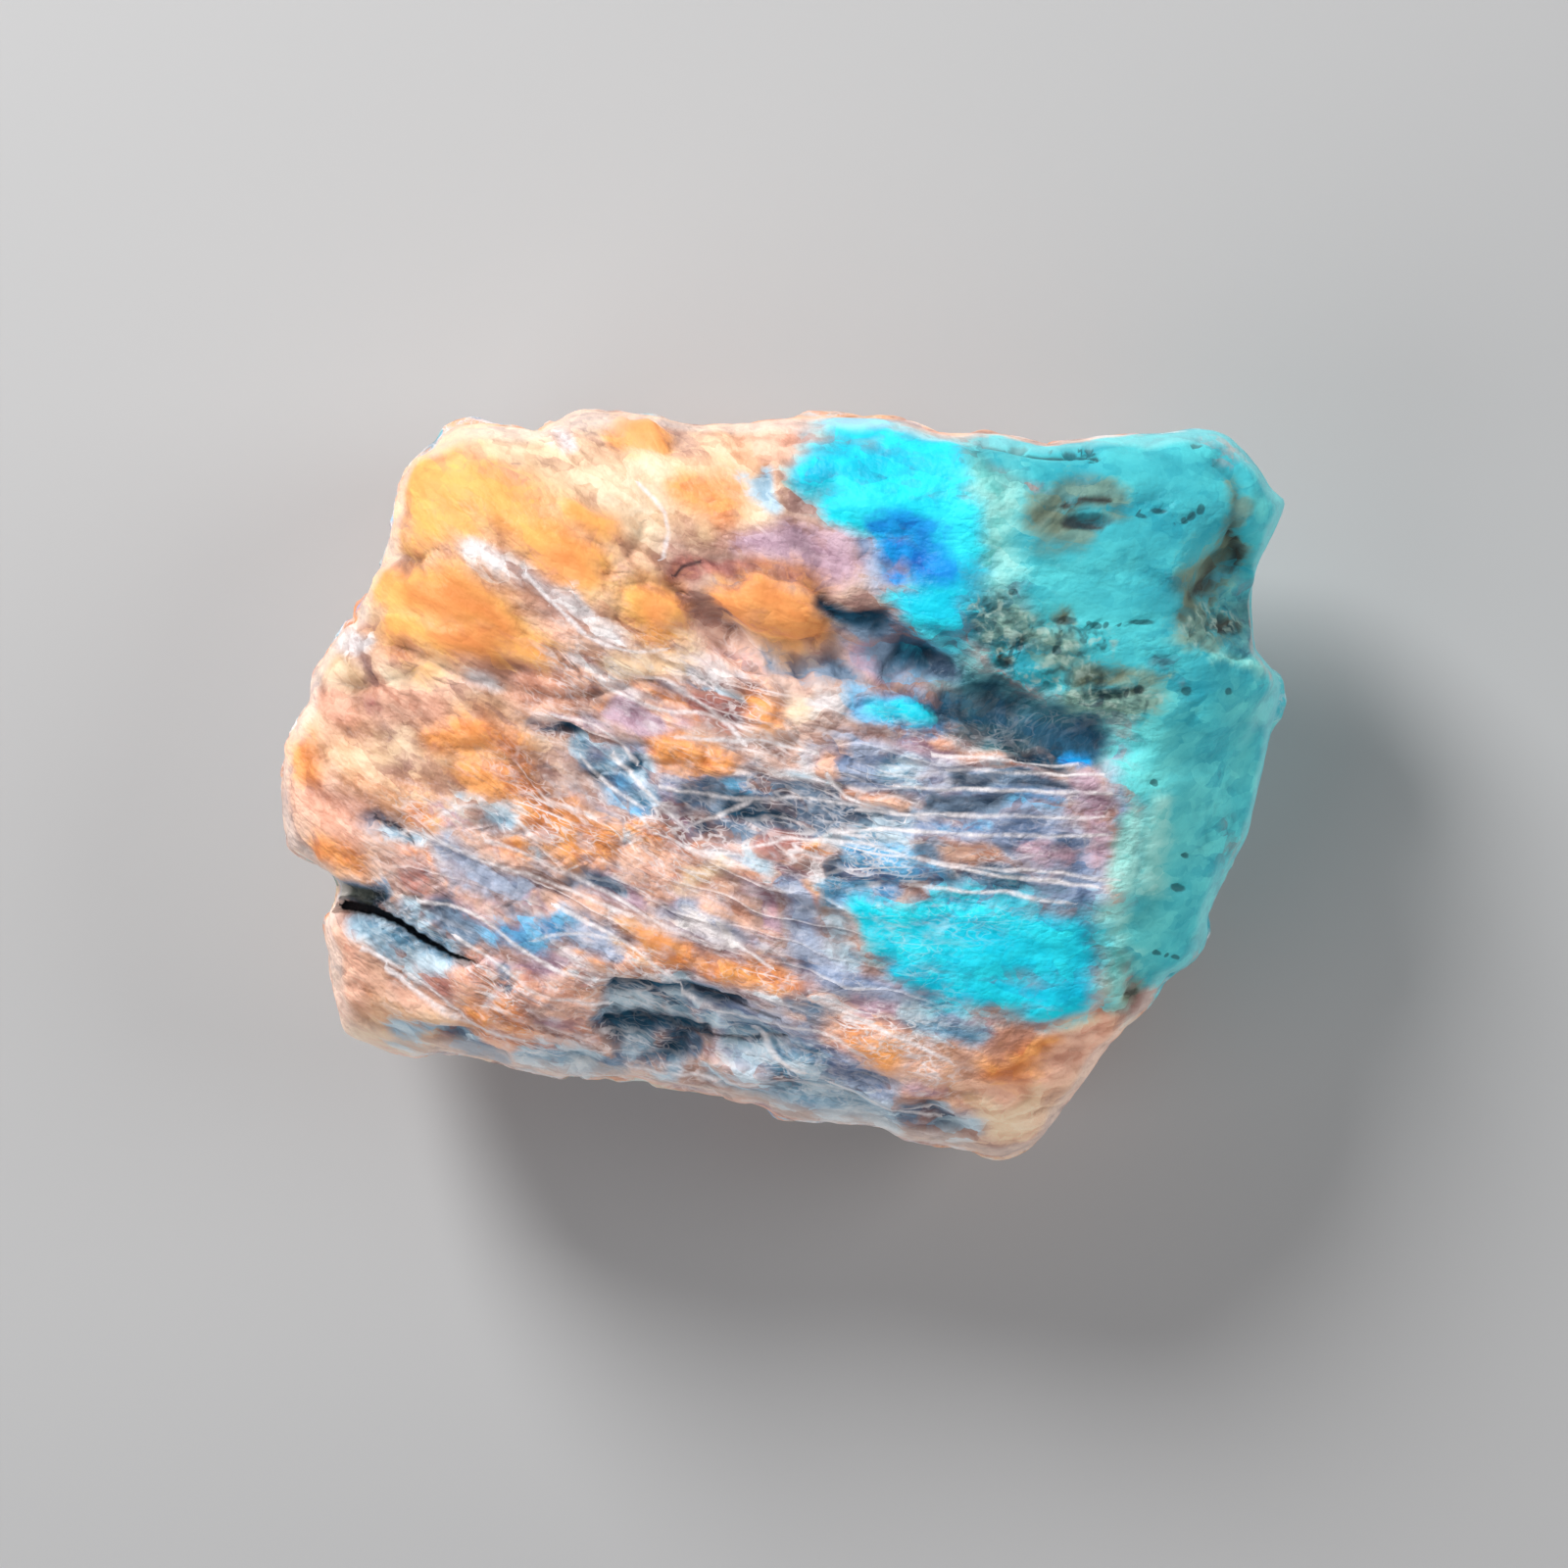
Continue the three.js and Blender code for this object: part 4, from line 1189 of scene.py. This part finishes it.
class Number:
    """A number that changes over the surface. Signs between such numbers become Math nodes."""

    def __init__(self, socket):
        self.socket = socket

    def maths(self, operation, first, second=0.0):
        node = add_node("ShaderNodeMath", {"operation": operation}, at_0=first, at_1=second)
        return Number(node.outputs[0])

    def __add__(self, other):
        return self.maths("ADD", self, other)

    def __sub__(self, other):
        return self.maths("SUBTRACT", self, other)

    def __rsub__(self, other):
        return self.maths("SUBTRACT", other, self)

    def __mul__(self, other):
        return self.maths("MULTIPLY", self, other)

    def __abs__(self):
        return self.maths("ABSOLUTE", self)

    def fraction(self):
        return self.maths("FRACT", self)

    def greatest(self, other):
        return self.maths("MAXIMUM", self, other)

    def step(self, start, end):
        """0 up to start, 1 from end on and smooth between; it falls where start is above end."""
        low_end, high_end = sorted((start, end))
        to = (0.0, 1.0) if start < end else (1.0, 0.0)
        node = add_node("ShaderNodeMapRange", {"interpolation_type": "SMOOTHSTEP"}, Value=self,
                        From_Min=low_end, From_Max=high_end, To_Min=to[0], To_Max=to[1])
        return Number(node.outputs["Result"])

    __radd__ = __add__
    __rmul__ = __mul__


def attribute(name, part="Fac"):
    """A value stored with the mesh: a number, or with part "Vector" three of them."""
    node = add_node("ShaderNodeAttribute", {"attribute_name": name})
    return Number(node.outputs["Fac"]) if part == "Fac" else node.outputs[part]


def split(vector):
    """The three numbers of a vector."""
    return [Number(socket) for socket in add_node("ShaderNodeSeparateXYZ", Vector=vector).outputs]


def stretched(vector, scale):
    """The vector times one number for each direction."""
    return add_node("ShaderNodeVectorMath", {"operation": "MULTIPLY"}, at_0=vector, at_1=scale).outputs[0]


def noise(vector, scale, detail=2.0, twist=0.0, roughness=0.5):
    """The material's own noise, 0 to 1 with a mean of one half."""
    node = add_node("ShaderNodeTexNoise", Vector=vector, Scale=scale, Detail=detail, Distortion=twist,
                    Roughness=roughness)
    return Number(node.outputs["Fac"])


def cell_number(vector, scale):
    """A number from -1 to 1 for each cell of a pattern of cells, the same all over a cell."""
    node = add_node("ShaderNodeTexVoronoi", Vector=vector, Scale=scale)
    return split(node.outputs["Color"])[0] * 2 - 1


def shade(red, green, blue):
    """A colour as seen, 0 to 255 for each part, as the amounts of light that the renderer needs."""
    parts = np.array([red, green, blue]) / 255
    light = np.where(parts <= 0.04045, parts / 12.92, ((parts + 0.055) / 1.055) ** 2.4)
    return (*light.tolist(), 1.0)


def dimmed(colour, amount):
    """The colour times a number."""
    return add_node("ShaderNodeVectorMath", {"operation": "SCALE"}, at_0=colour, Scale=amount).outputs[0]


def mixed(share, first, second):
    """The first colour where the share is 0 and the second where it is 1."""
    node = add_node("ShaderNodeMix", {"data_type": "RGBA"}, at_0=share, at_6=first, at_7=second)
    return node.outputs[2]


print("the material is called", material.name)

# %% [markdown]
# ## Grain finer than the net
# The net can't hold anything finer than the steps between its points, so the finest grain is noise in
# the material. Streaks run along the layers, speckle has no direction, and cells give each crystal a
# tone of its own. A slow noise bends the borders of the cells, because real crystals grow into one
# another. The folds of the surface come along as lumps, which later paint the tone lighter on their
# tops and deeper in their creases: painted light and shade.

# %% Streaks, speckle, cells and lumps
CELL_BEND = 1.2
CELL_BEND_SCALE = 0.6

# Cells of two sizes: their stretch and scale
COARSE_CELLS = ((0.5, 1.0, 0.7), 0.65)
FINE_CELLS = ((0.6, 1.0, 0.8), 1.6)
COARSE_SHARE = 0.6

# Streaks and speckle
STREAK_STRETCH = (0.6, 1.0, 0.8)
STREAK_SCALE = 1.2
SPECKLE_SCALE = 1.9
FINE_DETAIL = 3.0
FINE_ROUGHNESS = 0.55

# Each fold's share in the lumps, and how much fine noise bends the second and the third
FOLD_SHARES = (0.9, 0.9, 0.7)
FOLD_WOBBLES = (0.1, 0.15)
LUMP_MEAN = 0.6


def fine_noise(vector, scale):
    """Fine noise of -1 to 1."""
    return noise(vector, scale, FINE_DETAIL, 0.0, FINE_ROUGHNESS) * 2 - 1


def cells(stretch, scale):
    """A number of -1 to 1 for each cell of one size."""
    return cell_number(stretched(bent, stretch), scale)


calm_share = attribute("calm")
grain_vector = attribute("grain", "Vector")
streaky = stretched(grain_vector, STREAK_STRETCH)
streak_fine = fine_noise(streaky, STREAK_SCALE)
speckle = fine_noise(grain_vector, SPECKLE_SCALE)
bend = add_node("ShaderNodeTexNoise", Vector=grain_vector, Scale=CELL_BEND_SCALE).outputs["Color"]
bent = add_node("ShaderNodeVectorMath", {"operation": "MULTIPLY_ADD"}, at_0=bend, at_1=[CELL_BEND] * 3,
                at_2=grain_vector).outputs[0]
cell = cells(*COARSE_CELLS) * COARSE_SHARE + cells(*FINE_CELLS) * (1 - COARSE_SHARE)
cloud = [attribute(name) for name in clouds]
fold = split(attribute("folds", "Vector"))
fold[1] = fold[1] + streak_fine * FOLD_WOBBLES[0]
fold[2] = fold[2] + speckle * FOLD_WOBBLES[1]
lumps = abs(fold[0]) * FOLD_SHARES[0] + abs(fold[1]) * FOLD_SHARES[1] + abs(fold[2]) * FOLD_SHARES[2]
lumps = (lumps - LUMP_MEAN) * calm_share
print("the fine noises take", len(nodes), "nodes")

# %% [markdown]
# ## The rock's colours
# Each mineral has a deep and a light tone, and clouds, cells and lumps choose between them, so no patch
# is flat. Its edge is broken by the clouds, the cells and the streaks: the patch shows where its field
# plus those is above nought. Minerals further down the list lie over those above them.

# %% Minerals over one another
# The two tones of the rock under all the patches
GROUND = ((160, 122, 114), (224, 190, 174))

# Each mineral: its deep tone, its light tone, and how soft and how ragged its edge is
MINERALS = {
    "peach": ((222, 160, 120), (246, 208, 168), 1.0, 0.8),
    "rose": ((178, 128, 114), (228, 190, 172), 0.9, 0.9),
    "haze": ((108, 132, 170), (184, 194, 216), 0.8, 1.0),
    "sea": ((46, 108, 126), (118, 186, 188), 0.7, 0.6),
    "mauve": ((150, 112, 132), (206, 174, 188), 0.8, 1.0),
    "slate": ((50, 76, 104), (128, 150, 174), 0.7, 1.1),
    "salmon": ((216, 148, 122), (250, 200, 174), 0.8, 1.0),
    "red": ((136, 80, 80), (200, 134, 120), 0.9, 1.1),
    "cream": ((232, 190, 148), (250, 226, 196), 1.1, 0.8),
    "amber": ((240, 152, 82), (252, 192, 108), 1.1, 0.8),
    "orange": ((226, 128, 66), (250, 172, 104), 1.1, 0.9),
    "white": ((206, 190, 190), (246, 238, 236), 0.9, 1.2),
    "frost": ((92, 148, 180), (210, 228, 238), 0.8, 1.2),
    "sky": ((48, 116, 176), (124, 196, 236), 0.8, 1.2),
    "navy": ((4, 42, 64), (36, 88, 116), 0.9, 0.9),
    "teal": ((34, 152, 172), (84, 206, 212), 0.3, 0.4),
    "aqua": ((62, 178, 188), (112, 220, 218), 1.0, 0.7),
    "mist": ((92, 196, 192), (168, 230, 222), 1.0, 0.7),
    "moss": ((54, 100, 104), (130, 168, 154), 0.9, 1.0),
    "brown": ((74, 94, 84), (132, 146, 124), 1.1, 0.9),
    "cyan": ((0, 170, 212), (24, 226, 242), 0.7, 0.6),
    "glow": ((0, 208, 238), (52, 236, 248), 1.0, 0.6),
    "blue": ((10, 92, 200), (20, 160, 232), 0.9, 0.9),
    # Dark: painted shade in recesses and by the cracks, and darker spots elsewhere
    "dark": ((24, 38, 44), (78, 82, 74), 0.7, 0.9),
}

# What breaks up the edge of a patch
CLOUD_SHARE = 1.2
FINE_SHARE = 0.3
CELL_SHARE = 0.6

# What chooses between a mineral's deep and light tones
TONE_CLOUD = 0.7
TONE_FINE = 0.3
TONE_LUMP_SHADING = 0.6
TONE_CELL = 0.4
TONE_CELL_LEAST = 0.2
TONE_RANGE = 0.8

edges = [part * CLOUD_SHARE + fine * FINE_SHARE + cell * CELL_SHARE
         for part, fine in zip(cloud, (streak_fine, speckle, streak_fine))]
tones = []
for part, fine in zip(cloud[1:], (streak_fine, speckle)):
    # The lumps paint the tone lighter on their tops and deeper in their creases: painted light and shade
    lightness = part * TONE_CLOUD + fine * (calm_share * TONE_FINE) + lumps * TONE_LUMP_SHADING
    lightness = lightness + cell * (calm_share * TONE_CELL + TONE_CELL_LEAST)
    tones.append(lightness.step(-TONE_RANGE, TONE_RANGE))

colour = mixed(tones[0], shade(*GROUND[0]), shade(*GROUND[1]))
masks = {}
for place, (name, (deep, light, softness, raggedness)) in enumerate(MINERALS.items()):
    field = attribute(name) + edges[place % len(edges)] * raggedness
    masks[name] = field.step(-softness, softness)
    tone = mixed(tones[place % len(tones)], shade(*deep), shade(*light))
    colour = mixed(masks[name], colour, tone)
print(len(MINERALS), "minerals")

# %% [markdown]
# ## Rubble and relief
# Where the rock has crumbled, small grains differ in tone. Hollows and creases are painted darker and
# heights a little lighter all over the stone: painted shade in the hollows and creases, painted light on the
# heights.

# %% Tones of grains, and painted shade in hollows
# Grains of the rubble: their tones, and where a noise is low or high enough for each
RUBBLE_DARK = shade(40, 66, 72)
RUBBLE_PALE = shade(176, 200, 188)
RUBBLE_SCALE = 1.1
RUBBLE_TWIST = 0.4
RUBBLE_EDGE = (-0.4, 0.5)
DARK_GRAINS = (0.5, 0.32)
PALE_GRAINS = (0.5, 0.68)
RUBBLE_SHARE = 0.6

# Painted light and shade: how bright the heights are, and how much darker the creases and hollows
HEIGHTS_PAINTED_LIGHT = 1.06
CREASES = (0.15, -0.45)
CREASE_PAINTED_SHADE = 0.22
HOLLOWS = (0.1, -1.3)
HOLLOW_PAINTED_SHADE = 0.26

grains = noise(grain_vector, RUBBLE_SCALE, twist=RUBBLE_TWIST)
rubble = (attribute("rubble") + cloud[0]).step(*RUBBLE_EDGE) * RUBBLE_SHARE
colour = mixed(rubble * grains.step(*DARK_GRAINS), colour, RUBBLE_DARK)
colour = mixed(rubble * grains.step(*PALE_GRAINS), colour, RUBBLE_PALE)
# Painted shade in the creases and hollows, and painted light on the heights
creases = lumps.step(*CREASES) * CREASE_PAINTED_SHADE
hollows = attribute("relief").step(*HOLLOWS) * HOLLOW_PAINTED_SHADE
colour = dimmed(colour, HEIGHTS_PAINTED_LIGHT - creases - hollows)
print("with its minerals and hollows the material has", len(nodes), "nodes")

# %% [markdown]
# ## The web of threads and the veil
# A web of hair-thin pale threads follows the layers. A thread lies where a stretched noise passes
# through one half, and three such noises give long, curly and short ones. Dark threads of the same
# kind are the gaps between layers, and a thin veil lies between the threads. They fade in and out along
# their way, as real ones do, and the pale ones are fainter on the deep blue minerals.

# %% Threads, gaps and veil
# Each kind of thread: its stretch, scale, width and twist
LONG_THREADS = ((0.25, 1.0, 0.6), 0.5, 0.03, 0.4)
CURLY_THREADS = ((0.6, 1.0, 0.8), 0.6, 0.02, 1.0)
SMALL_THREADS = ((0.45, 1.0, 0.8), 1.2, 0.05, 0.8)
DARK_THREADS = ((0.2, 1.0, 0.5), 0.85, 0.03, 0.3)
CURLY_SHARE = 0.8
SMALL_SHARE = 0.75
THREAD_DETAIL = 1.0
THREAD_CORE = 0.2
WEB_EDGE = (-0.5, 0.6)
FADING = (-0.35, 0.5)
FADING_DARK = (-0.1, 0.6)
FINE_FADING = 0.8
VEIL_STRETCH = (0.5, 1.0, 0.8)
VEIL_SCALE = 1.1
VEIL_DETAIL = 4.0
VEIL_TWIST = 0.6
VEIL_ROUGHNESS = 0.65
VEIL_RANGE = (0.48, 0.72)

# How far the threads and the veil keep off the blue minerals
OFF_SLATE = 0.5
OFF_HAZE = 0.4
OFF_NAVY = 0.7
VEIL_OFF_SLATE = 0.6


def thread(stretch, scale, width, twist):
    """1 where the noise is one half and 0 where it is width away from it."""
    middle = abs(noise(stretched(grain_vector, stretch), scale, THREAD_DETAIL, twist) - 0.5)
    return middle.step(width, width * THREAD_CORE)


web = attribute("web").step(*WEB_EDGE)
fading = (cloud[0] + streak_fine * FINE_FADING).step(*FADING)
fading_dark = (cloud[2] + speckle * FINE_FADING).step(*FADING_DARK)
threads = thread(*LONG_THREADS).greatest(thread(*CURLY_THREADS) * CURLY_SHARE)
threads = threads.greatest(thread(*SMALL_THREADS) * SMALL_SHARE)
pale = threads * fading * web * (1.0 - masks["slate"] * OFF_SLATE)
pale = pale * (1.0 - masks["haze"] * OFF_HAZE) * (1.0 - masks["navy"] * OFF_NAVY)
gaps = thread(*DARK_THREADS) * web * fading_dark
deep_blue = masks["navy"].greatest(masks["slate"] * VEIL_OFF_SLATE)
veil = noise(stretched(grain_vector, VEIL_STRETCH), VEIL_SCALE, VEIL_DETAIL, VEIL_TWIST, VEIL_ROUGHNESS)
veil = veil.step(*VEIL_RANGE) * web * (1.0 - deep_blue)
print("with the web the material has", len(nodes), "nodes")

# %% [markdown]
# ## Edges of sheets, veins, dark lines, pits and the crack
# The edge of a sheet is bright and the rock under it is in shade, which the fraction of the sheet's
# number tells. The listed lines are drawn where the distance to the nearest one is nearly
# nought. Fine noise makes each line's border ragged and lets it fade here and there.

# %% Sheets, lines, pits and the crack
# Where a sheet's painted highlight at its edge and the painted shade under it lie, as shares of the way
# across the sheet
SHEET_WOBBLE = 0.05
SHEET_HIGHLIGHT = (0.12, 0.03)
SHEET_SHADED = (0.7, 1.0)

# Half widths of the lines, and the mean, fine and cloudy parts of how clearly they show
LINE_RAGGEDNESS = 0.15
LINE_FAR = (1.1, 0.7)
VEIN_HALF_WIDTH = 0.3
DARK_HALF_WIDTH = 0.28
SOFT_HALF_WIDTH = 0.5
SHEET_SHOWS = (0.6, 0.6)
VEIN_SHOWS = (0.8, 0.8, 0.5)
DARK_SHOWS = (0.75, 0.6)
SOFT_SHOWS = (0.2, 0.5)

# Pits: how ragged their border is, where it lies and where they end, in half sizes. Then the same
# for the gap of the crack, in millimetres
PIT_RAGGEDNESS = 0.5
PIT_EDGE = (1.4, 0.5)
PIT_END = (2.6, 2.2)
GAP_RAGGEDNESS = 0.15
GAP_EDGE = (0.1, -0.1)
GAP_END = (1.4, 1.0)


def line(name, half_width):
    """1 on the lines of a channel. The second part is the distance without its sign, which keeps the
    place where the nearest line changes from being drawn as a line."""
    signed, nearest, _ = split(attribute(name, "Vector"))
    ragged = abs(signed) + streak_fine * LINE_RAGGEDNESS
    return ragged.step(half_width, 0.0) * nearest.step(*LINE_FAR)


ledge_share = attribute("ledges")
in_sheet = (attribute("sheet") + streak_fine * SHEET_WOBBLE).fraction()
# Painted highlight along each sheet's edge, and painted shade under it
sheet_highlight = in_sheet.step(*SHEET_HIGHLIGHT) * ledge_share
sheet_shade = in_sheet.step(*SHEET_SHADED) * ledge_share
pale = pale.greatest(sheet_highlight * (SHEET_SHOWS[0] + SHEET_SHOWS[1] * streak_fine))
for i in range(VEIN_CHANNELS):
    shows = VEIN_SHOWS[0] + VEIN_SHOWS[1] * speckle + VEIN_SHOWS[2] * cloud[i % len(cloud)]
    pale = pale.greatest(line(f"vein_{i}", VEIN_HALF_WIDTH) * shows)

dark = line("dark_strong", DARK_HALF_WIDTH) * (DARK_SHOWS[0] + DARK_SHOWS[1] * streak_fine)
# The soft dark lines are partly painted shade under steps and in creases, partly dark joints
dark_soft = line("dark_soft", SOFT_HALF_WIDTH) * (SOFT_SHOWS[0] + SOFT_SHOWS[1] * streak_fine)
pit_x, pit_y, pit_far = split(attribute("pit", "Vector"))
pit_reach = pit_x * pit_x + pit_y * pit_y + speckle * PIT_RAGGEDNESS
pits = pit_reach.step(*PIT_EDGE) * pit_far.step(*PIT_END)
crack_signed, crack_far, crack_half_width = split(attribute("crack", "Vector"))
gap = (abs(crack_signed) - crack_half_width + speckle * GAP_RAGGEDNESS).step(*GAP_EDGE)
gap = gap * crack_far.step(*GAP_END)
print("with its lines the material has", len(nodes), "nodes")

# %% [markdown]
# ## Lines over the minerals
# The shade under the sheets and the dark lines are laid on first, then the veil, the pale threads over
# both, and the pits last. None of them but the dark lines covers fully, so the mineral shows through.

# %% Each kind of line: how much it covers and its colour
SHEET_COVER = 0.4
GAPS_COVER = 0.5
VEIL_COVER = 0.4
PALE_COVER = 0.8
PITS_COVER = 0.65
SHEET_SHADE = shade(84, 72, 92)
DARK_COLOUR = shade(36, 32, 44)
VEIL_COLOUR = shade(214, 210, 222)
VEIN_COLOUR = shade(246, 238, 238)
PIT_COLOUR = shade(22, 50, 60)

layers = [
    (sheet_shade * SHEET_COVER, SHEET_SHADE),
    (gaps * GAPS_COVER, DARK_COLOUR),
    (dark.greatest(dark_soft), DARK_COLOUR),
    (veil * VEIL_COVER, VEIL_COLOUR),
    (pale * PALE_COVER, VEIN_COLOUR),
    (pits * PITS_COVER, PIT_COLOUR),
]
for share, tone in layers:
    colour = mixed(share, colour, tone)
print(len(layers), "layers of lines lie over the minerals")

# %% [markdown]
# ## The painted rim light and the finish
# A thin pale band of painted rim light lies where the face turns down into the sides. The stone is
# finely rough, with a dull shine. Part of its colour is painted glow: the whole surface gives off a share
# of its own colour as light, for the way this rock gives back unseen light as amber and blue, and this
# also lifts its shade.

# %% Painted rim light, surface and painted glow
# The painted rim light, and the black painted shade inside the crack
RIM_LIGHT_COLOUR = shade(246, 236, 228)
TEAL_RIM_LIGHT = shade(176, 232, 232)
CRACK_SHADE_BLACK = shade(10, 14, 20)
RIM_CLOUD = 0.4
RIM_EDGE = (0.1, 0.9)
RIM_LIGHT_COVER = 0.36

# The surface: its painted glow, its shine and the finest relief
PAINTED_GLOW_SHARE = 0.3
SHINE = 0.3
LEAST_ROUGHNESS = 0.45
MORE_ROUGHNESS = 0.2
BUMP_STRENGTH = 0.55
BUMP_SCALES = (0.9, 1.6)
FINE_BUMPS = 0.4
LEAST_BUMPS = 0.1

# Painted rim light: a pale band where the face turns steeply down, pale cyan over the teal
rim_light_share = (attribute("steep") + cloud[1] * RIM_CLOUD).step(*RIM_EDGE) * RIM_LIGHT_COVER
rim_light_colour = mixed(masks["teal"], RIM_LIGHT_COLOUR, TEAL_RIM_LIGHT)
colour = mixed(rim_light_share, colour, rim_light_colour)
# Painted shade: the crack's gap is painted black, as its deep walls would lie in shadow
colour = mixed(gap, colour, CRACK_SHADE_BLACK)

bumps = abs(noise(streaky, BUMP_SCALES[0]) - 0.5) + noise(grain_vector, BUMP_SCALES[1]) * FINE_BUMPS
bumps = bumps * (LEAST_BUMPS + (1 - LEAST_BUMPS) * calm_share)
bump = add_node("ShaderNodeBump", Strength=BUMP_STRENGTH, Distance=MM, Height=bumps)
roughness = LEAST_ROUGHNESS + tones[0] * MORE_ROUGHNESS
# Painted glow: the surface gives off a share of its own colour, for the stone's glow and to lift its shade
surface = add_node("ShaderNodeBsdfPrincipled", Base_Color=colour, Roughness=roughness, Normal=bump.outputs[0],
                   Emission_Color=colour, Emission_Strength=PAINTED_GLOW_SHARE, Specular_IOR_Level=SHINE)
add_node("ShaderNodeOutputMaterial", Surface=surface.outputs[0])
mesh.materials.append(material)
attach(specimen, BODY)
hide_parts(NODE)
print("the material has", len(nodes), "nodes")

# %% [markdown]
# ## Light and ground
# Large lamps give soft light with a gentle shadow side. The key lamp stands beyond the top edge and
# to the left, so the lower flanks of lumps and steps go slightly dark and the relief can be read.

# %% Floor, lamps and view
FLOOR_SIZE = 4.0
LAMPS = [
    # place in metres, width in metres, power in watts
    ((-0.3, 0.42, 0.34), 0.24, 3.2),
    ((0.45, 0.1, 0.38), 0.35, 0.7),
    ((-0.4, -0.25, 0.36), 0.35, 0.5),
]
WORLD_SHADE = shade(200, 200, 204)
WORLD_STRENGTH = 0.24
FLOOR_SHADE = shade(214, 214, 214)
FLOOR_ROUGHNESS = 0.9

floor_mesh = bpy.data.meshes.new("floor")
half = FLOOR_SIZE / 2
corners = [(-half, -half, 0), (half, -half, 0), (half, half, 0), (-half, half, 0)]
floor_mesh.from_pydata(corners, [], [(0, 1, 2, 3)])
floor = bpy.data.objects.new("floor", floor_mesh)
floor_material = bpy.data.materials.new("pale paper")
floor_material.use_nodes = True
floor_surface = floor_material.node_tree.nodes["Principled BSDF"]
floor_surface.inputs["Base Color"].default_value = FLOOR_SHADE
floor_surface.inputs["Roughness"].default_value = FLOOR_ROUGHNESS
floor_mesh.materials.append(floor_material)
bpy.context.scene.collection.objects.link(floor)

for number, (place, width, power) in enumerate(LAMPS):
    lamp_data = bpy.data.lights.new(f"lamp {number}", "AREA")
    lamp_data.shape = "DISK"
    lamp_data.size = width
    lamp_data.energy = power
    lamp = bpy.data.objects.new(f"lamp {number}", lamp_data)
    lamp.location = place
    aim = -lamp.location
    lamp.rotation_euler = aim.to_track_quat("-Z", "Y").to_euler()
    bpy.context.scene.collection.objects.link(lamp)

world = bpy.data.worlds.new("studio")
world.use_nodes = True
world.node_tree.nodes["Background"].inputs["Color"].default_value = WORLD_SHADE
world.node_tree.nodes["Background"].inputs["Strength"].default_value = WORLD_STRENGTH
bpy.context.scene.world = world
bpy.context.scene.view_settings.view_transform = "Standard"
print(len(LAMPS), "lamps light the stone on a floor", FLOOR_SIZE, "m wide")
